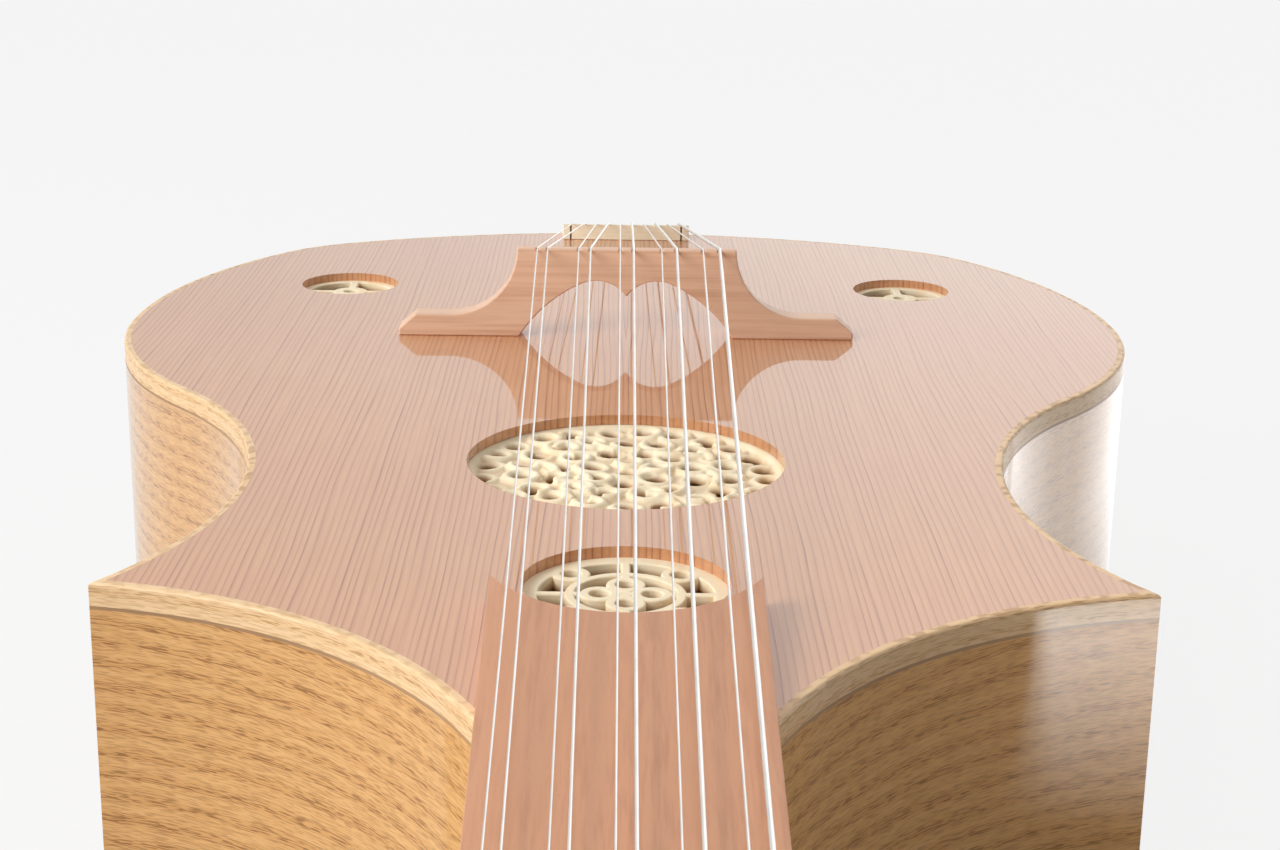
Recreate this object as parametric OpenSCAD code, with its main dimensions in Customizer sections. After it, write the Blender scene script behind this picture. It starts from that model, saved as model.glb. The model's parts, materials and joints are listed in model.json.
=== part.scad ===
// Five-course bouzouki with a viol-shaped body, lying on its flat back.
// Units are millimetres. The origin is on the outer face of the back, under the bridge.
// +Y runs to the tail, +X to the bass side, +Z up out of the soundboard.

/* [Strings] */
// Sounding length from the nut to the bridge
scale_len = 610; // [580:1:640]
// Distance between neighbouring courses at the bridge
course_gap_bridge = 13.5; // [12.5:0.1:14]
// Distance between neighbouring courses at the nut
course_gap_nut = 9.5; // [8.5:0.1:10]
// Distance between the two strings of the treble course at the bridge
pair_gap_bridge = 3.3; // [2.5:0.1:4]
// Growth of that distance from each course to the next
pair_gap_growth = 0.5; // [0:0.05:0.6]
// Distance between the two strings of a course at the nut
pair_gap_nut = 3; // [2:0.1:3.5]
// Distance between neighbouring strings on the tail saddle
tail_string_gap = 4.6; // [4:0.1:5]
// Diameter of the thin string of a course
thin_string_d = 0.5; // [0.3:0.05:0.7]
// Diameter of the thick string of the treble course
thick_string_d = 0.55; // [0.4:0.05:0.8]
// Growth of the thick string's diameter from each course to the next
thick_string_growth = 0.14; // [0:0.02:0.2]

/* [Body outline] */
// Half width over the horn tips
horn_half_w = 119; // [114:0.5:124]
// Distance of the horn tips from the bridge
horn_y = 233; // [228:1:238]
// Half width at the waist
waist_half_w = 97.7; // [92:0.1:104]
// Distance of the waist from the bridge
waist_y = 160; // [152:1:166]
// Half width of the lower bout
lower_half_w = 162; // [157:0.5:168]
// Distance of the widest place behind the bridge
lower_y = 15; // [8:1:22]
// Radius of the lower bout behind its widest place
lower_r = 186; // [180:1:195]
// Distance of the tail edge behind the bridge
tail_y = 167; // [163:1:172]
// Radius of the tail
tail_r = 230; // [222:1:240]
// Radius between the lower bout and the tail
corner_r = 60; // [40:1:80]
// Distance of the neck joint from the bridge
neck_joint_y = 305; // [298:1:312]
// Half width of the body at the neck joint
heel_half_w = 29; // [28.8:0.1:33]
// Radius of the hollow shoulders
shoulder_r = 120; // [105:1:140]

/* [Body] */
// Depth over the soundboard and the back
body_depth = 95; // [88:1:105]
// Thickness of the soundboard
top_t = 2.8; // [2.2:0.1:3.5]
// Thickness of the back
back_t = 3; // [2.4:0.1:4]
// Thickness of the ribs and width of the bindings
rib_t = 2.2; // [1.6:0.1:3]
// Height of the bindings
binding_h = 5.5; // [4:0.1:7]
// Height of the purfling line under the top binding
purfling_h = 0.8; // [0.4:0.1:1.2]
// Thickness of the linings
lining_t = 6; // [4:0.5:8]
// Height of the linings
lining_h = 14; // [10:0.5:18]
// Width of the cross braces
brace_w = 8; // [6:0.5:10]
// Height of the cross braces
brace_h = 12; // [8:0.5:15]
// Length of the neck block
neck_block_l = 36; // [30:1:45]
// Half width of the neck block
neck_block_half_w = 38; // [34:1:46]
// Thickness of the tail block
tail_block_t = 18; // [14:1:24]
// Half width of the tail block
tail_block_half_w = 34; // [30:1:45]
// Depth of the horn blocks, measured from the tip
horn_block_d = 28; // [22:1:34]

/* [Rosettes] */
// Radius of the big sound hole
big_hole_r = 42; // [39:0.1:43]
// Distance of the big sound hole from the bridge
big_hole_y = 136; // [132:0.5:140]
// Radius of the sound hole at the fingerboard
small_hole_r = 23.7; // [21:0.1:25]
// Distance of that sound hole from the bridge
small_hole_y = 228.6; // [225:0.2:232]
// Radius of the two tiny sound holes
tiny_hole_r = 16.8; // [14:0.1:19]
// Distance of the tiny sound holes from the centre line
tiny_hole_x = 97.4; // [92:0.2:102]
// Distance of the tiny sound holes behind the bridge
tiny_hole_y = 70; // [65:0.5:75]
// Thickness of the carved discs
rosette_t = 3.5; // [2.5:0.1:5]
// Width of the glued rim of the discs outside their holes
rosette_lip = 4; // [3:0.5:5]

/* [Neck] */
// Angle of the fingerboard to the soundboard
neck_angle = 3.6; // [3:0.1:4.2]
// Height of the fingerboard's end over the soundboard
board_rise = 6.5; // [5.5:0.1:7.5]
// Distance of the fingerboard's corners from the bridge
board_end_y = 242.4; // [238:0.2:246]
// Half width of the fingerboard at its end
board_end_half_w = 29.7; // [29:0.1:31]
// Half width of the fingerboard at the nut
board_nut_half_w = 24.2; // [23:0.1:26]
// Thickness of the fingerboard on the neck
board_t = 5; // [4:0.1:6]
// Space between the small sound hole and the fingerboard's hollow end
board_end_gap = 9; // [7:0.1:10]
// Depth of the neck under the fingerboard at the nut
neck_d_nut = 16; // [14:0.5:19]
// Depth of the neck under the fingerboard at the body
neck_d_body = 19; // [17:0.5:23]
// Length of the heel's foot along the back
heel_foot = 22; // [18:1:28]
// Length of the cove between the heel's foot and the neck
heel_cove_l = 42; // [34:1:46]
// Half width of the neck tenon
tenon_half_w = 11; // [8:0.5:14]
// Length of the neck tenon
tenon_l = 18; // [12:1:24]
// Height of the neck tenon
tenon_h = 50; // [40:1:56]
// Thickness of the nut
nut_t = 5; // [4:0.1:6]
// Height of the nut over the fingerboard
nut_rise = 1.6; // [1.2:0.1:2.4]
// Depth of the nut's string slots
nut_slot_d = 0.9; // [0.6:0.1:1]

/* [Bridge and tail saddle] */
// Height of the bridge over the soundboard
bridge_h = 28.4; // [26:0.2:31]
// Half width over the bridge's feet
bridge_half_w = 73; // [70:0.5:77]
// Half width of the bridge's top
bridge_top_half_w = 35.1; // [34.5:0.1:38]
// Height of the bridge's toes
bridge_toe_h = 7; // [6:0.1:8]
// Thickness of the bridge at its feet
bridge_foot_t = 9; // [7:0.2:11]
// Thickness of the bridge at its top
bridge_top_t = 4; // [3:0.1:5]
// Half width of the bridge's arch at the soundboard
arch_half_w = 34.3; // [32:0.1:35]
// Height of the arch's two crowns
arch_h = 18.2; // [17:0.1:20]
// Distance of the crowns from the centre line
arch_crown_x = 9.7; // [9:0.1:11]
// Height of the cusp between the crowns
arch_cusp_h = 13.1; // [12:0.1:14]
// Radius of the arch between its crowns and the soundboard
arch_flank_r = 45; // [40:1:60]
// Depth of the bridge's string notches
bridge_notch_d = 0.9; // [0.6:0.1:1.2]
// Half width of the tail saddle
saddle_half_w = 24.5; // [23:0.1:28]
// Length of the tail saddle along the strings
saddle_l = 14; // [10:0.5:18]
// Height of the tail saddle over the soundboard
saddle_h = 6; // [5:0.1:8]
// Height of the tail saddle at the tail edge
saddle_back_h = 2.6; // [2:0.1:4]
// Depth of the hitch pins under the soundboard's face
pin_drop = 16; // [13:0.5:20]
// Diameter of the hitch pins
pin_d = 2.4; // [1.8:0.1:3]

/* [Headstock and tuners] */
// Angle of the headstock to the fingerboard
head_angle = 9; // [7:0.2:10]
// Thickness of the headstock
head_t = 14; // [12:0.5:16]
// Half width of the headstock
head_half_w = 37; // [36.5:0.5:40]
// Distance of the first post pair from the nut
post_first = 30; // [28:0.5:34]
// Distance between neighbouring posts
post_gap = 30; // [28:0.5:32]
// Distance of the posts from the centre line
post_x = 25; // [23.5:0.1:26]
// Radius of the string posts
post_r = 3; // [2.6:0.1:3.2]
// Height of the string posts over the headstock's face
post_h = 13; // [11:0.5:15]
// Height of the strings at the posts
post_string_h = 6; // [5:0.1:7]
// Thickness of the tuner plates
plate_t = 1.2; // [1:0.1:1.6]
// Thickness of the gear wheels
gear_t = 3.2; // [2.6:0.1:3.6]
// Teeth of a gear wheel
gear_teeth = 14; // [12:1:16]
// Outer radius of the gear wheels
gear_r = 6.6; // [6:0.1:7]
// Outer radius of the worms
worm_r = 2.8; // [2.4:0.1:3.2]
// Length of the worms
worm_l = 8; // [7:0.2:9]
// Radius of the key shafts
shaft_r = 1.9; // [1.5:0.1:2.1]
// Length of the buttons along the shaft
button_l = 16; // [13:0.5:18]
// Half width of the buttons
button_half_w = 9; // [7:0.5:10]
// Thickness of the buttons
button_t = 7; // [5:0.5:8]
// Space between the headstock and the buttons
button_gap = 4; // [3:0.5:6]

/* [Clearances] */
// Running clearance of turning pieces
run_gap = 0.3; // [0.2:0.05:0.4]
// Radial clearance of shafts and posts in their bores
bore_gap = 0.08; // [0.05:0.01:0.1]
// Clearance between the strings and what they rest on
string_gap = 0.05; // [0.02:0.01:0.1]

/* [Hidden] */
$fn = 64;
COURSES = 5;
STRINGS = 2 * COURSES;
TUNERS_PER_SIDE = COURSES;
TUBE_SIDES = 12;
CUT = 400;
OVER = 1;
MITRE_OVER = 10;
PLAN_FN = 360;
LUG_T = 2;
LUG_WALL = 1.6;
PLATE_EDGE = 1.7;
PLATE_END = 3;
HEAD_END = 8;
HEAD_TIP_RATIO = 2.2;
BUSHING_WALL = 1.5;
BUSHING_L = 6;
FLANGE_W = 1.6;
FLANGE_T = 1.2;
SCREW_SPACE = 4.5;
SCREW_R = 1;
SCREW_HEAD_R = 2;
SCREW_HEAD_H = 1.2;
SCREW_SLOT_W = 0.6;
SCREW_L = 8;
POST_WAIST_D = 0.5;
POST_WAIST_HALF_H = 2;
POST_BEVEL = 1;
POST_HOLE_R = 0.9;
POST_FOOT_H = 1.4;
GEAR_BOSS_W = 1.2;
SHAFT_OUT = 1;
PIN_OUT = 2;
PIN_HEAD_H = 1;
BRACE_SPACE = 2;
HEEL_STEPS = 6;
COVE_STEPS = 9;
SECTION_STEPS = 10;
KEEL = 0.4;
NEAR_UPRIGHT = 0.999;

WOOD_TOP = [0.80, 0.62, 0.52];
WOOD_OAK = [0.82, 0.65, 0.45];
WOOD_RED = [0.74, 0.54, 0.44];
WOOD_PALE = [0.90, 0.80, 0.66];
STEEL = [0.78, 0.78, 0.80];
BRASS = [0.80, 0.66, 0.36];
IVORY = [0.93, 0.90, 0.82];

function unit(v) = v / norm(v);
function bearing(c, p) = atan2(p.y - c.y, p.x - c.x);
function on_circle(c, r, a) = c + r * [cos(a), sin(a)];

// Meeting point of two circles; side picks the one to the left (1) or right (-1) of the way from c1 to c2
function meet(c1, r1, c2, r2, side) =
    let (d = norm(c2 - c1), u = (c2 - c1) / d, a = (d * d + r1 * r1 - r2 * r2) / (2 * d))
    c1 + a * u + side * sqrt(r1 * r1 - a * a) * [-u.y, u.x];

// Outline arcs of the right half, each [centre, radius, bulge, first angle, last angle]
horn_tip = [horn_half_w, -horn_y];
heel_tip = [heel_half_w, -neck_joint_y];
shoulder_c = meet(heel_tip, shoulder_r, horn_tip, shoulder_r, -1);
waist_dx = horn_half_w - waist_half_w;
waist_r = (pow(waist_dx, 2) + pow(horn_y - waist_y, 2)) / (2 * waist_dx);
waist_c = [waist_half_w + waist_r, -waist_y];
bout_reach = waist_r + lower_half_w;
bout_x = (pow(bout_reach, 2) - pow(waist_c.x, 2) - pow(lower_y + waist_y, 2)) / (2 * (bout_reach - waist_c.x));
bout_c = [bout_x, lower_y];
lower_c = [lower_half_w - lower_r, lower_y];
tail_c = [0, tail_y - tail_r];
corner_c = meet(tail_c, tail_r - corner_r, lower_c, lower_r - corner_r, -1);
bout_a = bearing(waist_c, bout_c);
corner_a0 = bearing(lower_c, corner_c);
corner_a1 = bearing(tail_c, corner_c);
SHOULDER = [shoulder_c, shoulder_r, -1, bearing(shoulder_c, horn_tip), bearing(shoulder_c, heel_tip)];
WAIST = [waist_c, waist_r, -1, bout_a, bearing(waist_c, horn_tip) + 360];
BOUT = [bout_c, lower_half_w - bout_x, 1, bout_a - 180, 0];
LOWER = [lower_c, lower_r, 1, 0, corner_a0];
CORNER = [corner_c, corner_r, 1, corner_a0, corner_a1];
TAIL = [tail_c, tail_r, 1, corner_a1, 90];
ROUND_ARCS = [BOUT, LOWER, CORNER, TAIL];

function inset_r(arc, d) = arc[1] - arc[2] * d;
function arc_end(arc, d, last) = on_circle(arc[0], inset_r(arc, d), arc[last ? 4 : 3]);
function horn_at(d) = meet(shoulder_c, shoulder_r + d, waist_c, waist_r + d, 1);
function heel_at(d) =
    [shoulder_c.x - sqrt(pow(shoulder_r + d, 2) - pow(neck_joint_y + shoulder_c.y, 2)), -neck_joint_y];

horn_in = unit(horn_at(rib_t) - horn_tip);
horn_side = [-horn_in.y, horn_in.x];

rim_h = binding_h + purfling_h;
rib_z0 = binding_h;
rib_z1 = body_depth - rim_h;
plate_in = rib_t + lining_t;

// Neck frame: on the fingerboard's face at its corners, -y to the nut
board_z = body_depth + board_rise;
nut_l = (scale_len - board_end_y) / cos(neck_angle);
joint_drop = (neck_joint_y - board_end_y) * tan(neck_angle);
glue_z = board_z - joint_drop - board_t / cos(neck_angle);
function neck_point(p) = [
    p.x,
    -board_end_y + p.y * cos(neck_angle) - p.z * sin(neck_angle),
    board_z + p.y * sin(neck_angle) + p.z * cos(neck_angle)
];
// Headstock frame: on the headstock's face behind the nut
head_root = [0, -nut_l - nut_t, -board_t];
function head_point(p) = neck_point(head_root + [
    p.x,
    p.y * cos(head_angle) - p.z * sin(head_angle),
    p.y * sin(head_angle) + p.z * cos(head_angle)
]);
function board_half_w(y) = board_nut_half_w
    + (board_end_half_w - board_nut_half_w) * (scale_len - y) / (scale_len - board_end_y);

// Neck sections, t from the neck joint towards the nut
heel_r = (pow(heel_half_w, 2) + pow(heel_foot, 2)) / (2 * heel_foot);
cove_end = heel_foot + heel_cove_l;
neck_end_t = -neck_point(head_root).y - neck_joint_y;
function neck_half_w(t) = board_half_w(neck_joint_y + t);
function shaft_depth(t) = neck_d_body + (neck_d_nut - neck_d_body) * t / neck_end_t;
function glue_at(t) = glue_z - t * tan(neck_angle);
// Half width of the heel's round foot on the back
function foot_half_w(t) = sqrt(pow(heel_r, 2) - pow(heel_r - heel_foot + t, 2));
function cove_z(t) = (glue_at(cove_end) - shaft_depth(cove_end)) * sin(acos(1 - (t - heel_foot) / heel_cove_l));
// Depth of the half-ellipse, which runs past the back in the foot
function section_depth(t) = t < heel_foot
    ? glue_at(t) / sqrt(1 - pow(min(foot_half_w(t) / neck_half_w(t), NEAR_UPRIGHT), 2))
    : t < cove_end ? glue_at(t) - cove_z(t) : shaft_depth(t);
function neck_section(t) = let (
    depth = section_depth(t),
    shown = t < heel_foot ? glue_at(t) : depth,
    lean = neck_angle * min(1, max(0, t - heel_foot) / heel_cove_l),
    side = [for (k = [0 : SECTION_STEPS]) let (d = shown * sin(90 * k / SECTION_STEPS)) [
        max(KEEL, neck_half_w(t) * sqrt(max(0, 1 - pow(d / depth, 2)))),
        -neck_joint_y - t + d * sin(lean),
        glue_at(t) - d * cos(lean)
    ]]
) concat(side, [for (k = [SECTION_STEPS : -1 : 0]) [-side[k].x, side[k].y, side[k].z]]);

// Tuners
plate_z = -head_t - plate_t;
worm_z = plate_z - worm_r - run_gap;
worm_dy = gear_r + run_gap + worm_r;
lug_half_w = shaft_r + bore_gap + LUG_WALL;
lug_x = worm_l / 2 + run_gap + LUG_T / 2;
plate_half_w = lug_x + LUG_T / 2 + PLATE_EDGE;
plate_over = worm_dy + lug_half_w + PLATE_END;
bushing_r = post_r + BUSHING_WALL;
flange_r = bushing_r + FLANGE_W;
screw_dy = gear_r + SCREW_SPACE;
head_l = post_first + (TUNERS_PER_SIDE - 1) * post_gap + plate_over + HEAD_END;
head_tip_r = HEAD_TIP_RATIO * head_half_w;
button_x = head_half_w + button_gap;
post_waist_r = post_r - POST_WAIST_D;
function post_y(k) = -(post_first + k * post_gap);
function tuner_side(n) = n < TUNERS_PER_SIDE ? -1 : 1;
function tuner_row(n) = n < TUNERS_PER_SIDE ? n : STRINGS - 1 - n;

// Strings, counted from the treble side
function course_of(n) = floor(n / 2);
function string_d(n) = n % 2 == 0 ? thin_string_d + (course_of(n) == COURSES - 1 ? 0.1 : 0)
    : thick_string_d + thick_string_growth * course_of(n);
function pair_gap(n) = pair_gap_bridge + pair_gap_growth * course_of(n);
function pair_side(n) = n % 2 - 0.5;
function bridge_x(n) = (course_of(n) - (COURSES - 1) / 2) * course_gap_bridge + pair_side(n) * pair_gap(n);
function nut_x(n) = (course_of(n) - (COURSES - 1) / 2) * course_gap_nut + pair_side(n) * pair_gap_nut;
function tail_x(n) = (n - (STRINGS - 1) / 2) * tail_string_gap;
function post_string_x(n) = tuner_side(n) * (post_x - post_waist_r - run_gap - string_d(n) / 2);
pin_z = body_depth - pin_drop;
saddle_z = body_depth + saddle_h;
saddle_back_z = body_depth + saddle_back_h;
bridge_z = body_depth + bridge_h;

function string_route(n) = let (r = string_d(n) / 2, lift = r + string_gap) [
    [tail_x(n), tail_y + run_gap + r, pin_z + pin_d / 2 + lift],
    [tail_x(n), tail_y + run_gap + r, saddle_back_z + lift],
    [tail_x(n), tail_y - saddle_l, saddle_z + lift],
    [bridge_x(n), bridge_top_t / 2, bridge_z - bridge_notch_d + lift],
    [bridge_x(n), -bridge_top_t / 2, bridge_z - bridge_notch_d + lift],
    neck_point([nut_x(n), -nut_l, nut_rise - nut_slot_d + lift]),
    neck_point([nut_x(n), -nut_l - nut_t, nut_rise - nut_slot_d + lift]),
    head_point([post_string_x(n), post_y(tuner_row(n)), post_string_h])
];

// Circular segment between an arc and its chord
module arc_segment(arc, d) {
    p = arc_end(arc, d, false);
    q = arc_end(arc, d, true);
    out = unit((p + q) / 2 - arc[0]) * arc[1];
    intersection() {
        translate(arc[0]) circle(r = inset_r(arc, d), $fn = PLAN_FN);
        polygon([p, q, q + out, p + out]);
    }
}

// Right half of the body's plan, drawn in by d from the outline
module plan_half(d) {
    difference() {
        polygon(concat(
            [[0, -neck_joint_y], heel_at(d), horn_at(d)],
            [for (arc = ROUND_ARCS) arc_end(arc, d, false)],
            [[0, tail_y - d]]
        ));
        translate(shoulder_c) circle(r = shoulder_r + d, $fn = PLAN_FN);
        translate(waist_c) circle(r = waist_r + d, $fn = PLAN_FN);
    }
    for (arc = ROUND_ARCS) arc_segment(arc, d);
}

module plan(d) {
    plan_half(d);
    mirror([1, 0]) plan_half(d);
}

// Right half of the strip between two insets of the outline
module rim_half(d0, d1) {
    difference() {
        plan_half(d0);
        plan_half(d1);
    }
}

// Shoulder's side of the mitre line through the horn
module shoulder_region() {
    inner = horn_tip + horn_half_w / 2 * horn_in;
    outer = horn_tip - MITRE_OVER * horn_in;
    below = -neck_joint_y - MITRE_OVER;
    polygon([outer, inner, [0, inner.y], [0, below], [outer.x, below]]);
}

module both_sides() {
    children();
    mirror([1, 0]) children();
}

module neck_block_plan() {
    translate([-neck_block_half_w, -neck_joint_y]) square([2 * neck_block_half_w, neck_block_l]);
}

module tail_block_plan() {
    translate([-tail_block_half_w, tail_y - tail_block_t]) square([2 * tail_block_half_w, tail_block_t]);
}

module horn_block_plan() {
    inner = horn_tip + horn_block_d * horn_in;
    outer = horn_tip - rib_t * horn_in;
    reach = 2 * horn_block_d;
    polygon([
        inner - reach * horn_side, inner + reach * horn_side, outer + reach * horn_side, outer - reach * horn_side
    ]);
}

module between_plates() {
    translate([0, 0, back_t]) linear_extrude(body_depth - top_t - back_t) children();
}

module linings(z0) {
    translate([0, 0, z0]) linear_extrude(lining_h) difference() {
        both_sides() rim_half(rib_t, plate_in);
        neck_block_plan();
        tail_block_plan();
        both_sides() horn_block_plan();
    }
}

// Cross bars between the linings
module braces(places, z0) {
    intersection() {
        translate([0, 0, z0]) linear_extrude(brace_h) plan(plate_in);
        for (y = places) translate([-lower_half_w, y - brace_w / 2, z0]) cube([2 * lower_half_w, brace_w, brace_h]);
    }
}

module rosette_disc(r) {
    linear_extrude(rosette_t) difference() {
        circle(r = r + rosette_lip);
        children();
    }
}

module ring_of(count, r, turn = 0) {
    for (k = [0 : count - 1]) rotate(turn + k * 360 / count) translate([r, 0]) children();
}

module rosette_at(x, y) {
    translate([x, y, body_depth - top_t - rosette_t]) children();
}

module in_neck() {
    translate([0, -board_end_y, board_z]) rotate([neck_angle, 0, 0]) children();
}

module in_head() {
    in_neck() translate(head_root) rotate([head_angle, 0, 0]) children();
}

module soundboard() {
    color(WOOD_TOP) translate([0, 0, body_depth - top_t]) linear_extrude(top_t) difference() {
        plan(rib_t);
        translate([0, -big_hole_y]) circle(r = big_hole_r);
        translate([0, -small_hole_y]) circle(r = small_hole_r);
        for (s = [-1, 1]) translate([s * tiny_hole_x, tiny_hole_y]) circle(r = tiny_hole_r);
    }
}

module back_plate() {
    color(WOOD_OAK) linear_extrude(back_t) plan(rib_t);
}

// Drilled for the hitch pins of its half
module side_rib(side) {
    color(WOOD_OAK) difference() {
        translate([0, 0, rib_z0]) linear_extrude(rib_z1 - rib_z0) mirror([side < 0 ? 1 : 0, 0]) difference() {
            rim_half(0, rib_t);
            shoulder_region();
        }
        hitch_pin_bodies(side);
    }
}

module shoulder_rib(side) {
    color(WOOD_OAK) translate([0, 0, rib_z0]) linear_extrude(rib_z1 - rib_z0)
        mirror([side < 0 ? 1 : 0, 0]) intersection() {
            rim_half(0, rib_t);
            shoulder_region();
        }
}

module neck_block() {
    color(WOOD_PALE) difference() {
        between_plates() intersection() {
            plan(rib_t);
            neck_block_plan();
        }
        tenon(bore_gap);
    }
}

module tail_block() {
    color(WOOD_PALE) difference() {
        between_plates() intersection() {
            plan(rib_t);
            tail_block_plan();
        }
        for (side = [-1, 1]) hitch_pin_bodies(side);
    }
}

module horn_block(side) {
    color(WOOD_PALE) mirror([side < 0 ? 1 : 0, 0, 0]) between_plates() intersection() {
        plan_half(rib_t);
        horn_block_plan();
    }
}

module top_linings() {
    color(WOOD_PALE) linings(body_depth - top_t - lining_h);
}

module back_linings() {
    color(WOOD_PALE) linings(back_t);
}

module top_braces() {
    before_big = -(big_hole_y + big_hole_r + small_hole_y - small_hole_r) / 2;
    clear = rosette_lip + brace_w / 2 + BRACE_SPACE;
    after_big = -big_hole_y + big_hole_r + clear + brace_w;
    before_tiny = tiny_hole_y - tiny_hole_r - clear;
    after_tiny = tiny_hole_y + tiny_hole_r + clear + brace_w;
    color(WOOD_PALE) braces([before_big, after_big, before_tiny, after_tiny], body_depth - top_t - brace_h);
}

module back_braces() {
    color(WOOD_PALE) braces([-1.2 * waist_y, -waist_y / 2, lower_y, 0.6 * tail_y], back_t);
}

// Edge band around the body, from one side of the neck to the other
module edge_band(z0, h) {
    translate([0, 0, z0]) linear_extrude(h) both_sides() rim_half(0, rib_t);
}

module top_binding() {
    color(WOOD_OAK) edge_band(rib_z1 + purfling_h, binding_h);
}

module top_purfling() {
    color("dimgray") edge_band(rib_z1, purfling_h);
}

module back_binding() {
    color(WOOD_OAK) edge_band(0, binding_h);
}

// Pierced eyes in rings about the middle one
module big_rosette() {
    pitch = big_hole_r / 4.5;
    eye_r = pitch / 3;
    color(WOOD_PALE) rosette_at(0, -big_hole_y) rosette_disc(big_hole_r) {
        circle(r = eye_r);
        for (k = [1 : 4]) ring_of(6 * k, k * pitch, 30 / k) circle(r = eye_r);
    }
}

// Quatrefoil in a ring, four spokes and four ringed eyes on the diagonals
module small_rosette() {
    bar = 0.09 * small_hole_r;
    rim_r = 0.84 * small_hole_r;
    ring_r = 0.58 * small_hole_r;
    eye_r = 0.1 * small_hole_r;
    eye_at = 0.75 * small_hole_r;
    lobe_at = 0.25 * small_hole_r;
    color(WOOD_PALE) rosette_at(0, -small_hole_y) rosette_disc(small_hole_r) {
        difference() {
            circle(r = rim_r);
            circle(r = ring_r);
            ring_of(4, small_hole_r / 2) square([small_hole_r, bar], center = true);
            ring_of(4, eye_at, 45) circle(r = eye_r + bar);
        }
        difference() {
            circle(r = ring_r - bar);
            ring_of(4, lobe_at) circle(r = eye_r + bar);
            ring_of(4, small_hole_r / 2) square([small_hole_r, bar], center = true);
        }
        ring_of(4, eye_at, 45) circle(r = eye_r);
        ring_of(4, lobe_at) circle(r = eye_r);
    }
}

// Four spokes between a hub with an eye and the rim
module tiny_rosette(side) {
    bar = tiny_hole_r / 6;
    color(WOOD_PALE) rosette_at(side * tiny_hole_x, tiny_hole_y) rosette_disc(tiny_hole_r) {
        difference() {
            circle(r = 0.84 * tiny_hole_r);
            circle(r = 0.36 * tiny_hole_r);
            ring_of(4, tiny_hole_r / 2) square([tiny_hole_r, bar], center = true);
        }
        circle(r = 0.14 * tiny_hole_r);
    }
}

// Neck with half-elliptic sections that deepen through a cove into the heel, and its tenon
module neck() {
    foot_ts = [for (k = [0 : HEEL_STEPS]) heel_foot * sin(90 * k / HEEL_STEPS)];
    cove_ts = [for (k = [1 : COVE_STEPS]) heel_foot + heel_cove_l * (1 - cos(90 * k / COVE_STEPS))];
    color(WOOD_OAK) {
        skin([for (t = concat(foot_ts, cove_ts, [neck_end_t])) neck_section(t)]);
        tenon(0);
    }
}

module tenon(gap) {
    translate([-tenon_half_w - gap, -neck_joint_y - OVER, (body_depth - tenon_h) / 2 - gap])
        cube([2 * (tenon_half_w + gap), tenon_l + OVER + gap, tenon_h + 2 * gap]);
}

// Tapered board on the neck and a wedge on the soundboard, hollowed around the small sound hole
module fingerboard() {
    nut_top = neck_point([0, -nut_l, 0]);
    nut_base = neck_point([0, -nut_l, -board_t]);
    color(WOOD_RED) difference() {
        intersection() {
            rotate([90, 0, 90]) linear_extrude(4 * board_end_half_w, center = true) polygon([
                [-board_end_y, board_z], [nut_top.y, nut_top.z], [nut_base.y, nut_base.z],
                [-neck_joint_y, glue_z], [-neck_joint_y, body_depth], [-board_end_y, body_depth]
            ]);
            linear_extrude(2 * body_depth) polygon([
                for (s = [-1, 1], end = s < 0 ? [0, 1] : [1, 0])
                    end == 0 ? [s * board_half_w(scale_len + nut_t), -scale_len - nut_t]
                        : [s * board_end_half_w, -board_end_y]
            ]);
        }
        translate([0, -small_hole_y, body_depth - top_t]) cylinder(r = small_hole_r + board_end_gap, h = body_depth);
    }
}

module headstock() {
    root_half_w = board_nut_half_w;
    flare_y = plate_over - post_first;
    color(WOOD_OAK) difference() {
        in_head() difference() {
            translate([0, 0, -head_t]) linear_extrude(head_t) difference() {
                polygon([
                    [-root_half_w, head_t], [root_half_w, head_t], [root_half_w, 0], [head_half_w, flare_y],
                    [head_half_w, -head_l], [-head_half_w, -head_l], [-head_half_w, flare_y], [-root_half_w, 0]
                ]);
                difference() {
                    translate([-head_half_w - OVER, -head_l - OVER])
                        square([2 * (head_half_w + OVER), head_tip_r]);
                    translate([0, head_tip_r - head_l]) circle(r = head_tip_r);
                }
            }
            for (n = [0 : STRINGS - 1]) at_post(n) {
                translate([0, 0, -head_t - OVER]) cylinder(r = post_r + 2 * bore_gap, h = head_t + 2 * OVER);
                translate([0, 0, -BUSHING_L]) cylinder(r = bushing_r, h = BUSHING_L + OVER);
                translate([0, screw_dy, plate_z]) cylinder(r = SCREW_R, h = SCREW_L);
            }
        }
        in_neck() translate([-CUT / 2, -nut_l - nut_t, -CUT / 2]) cube(CUT);
    }
}

module nut() {
    color(IVORY) in_neck() difference() {
        translate([-board_nut_half_w, -nut_l - nut_t, -board_t])
            cube([2 * board_nut_half_w, nut_t, board_t + nut_rise]);
        for (n = [0 : STRINGS - 1]) translate([nut_x(n), -nut_l - nut_t / 2, nut_rise])
            cube([string_d(n) + 4 * string_gap, 2 * nut_t, 2 * nut_slot_d], center = true);
    }
}

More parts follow.
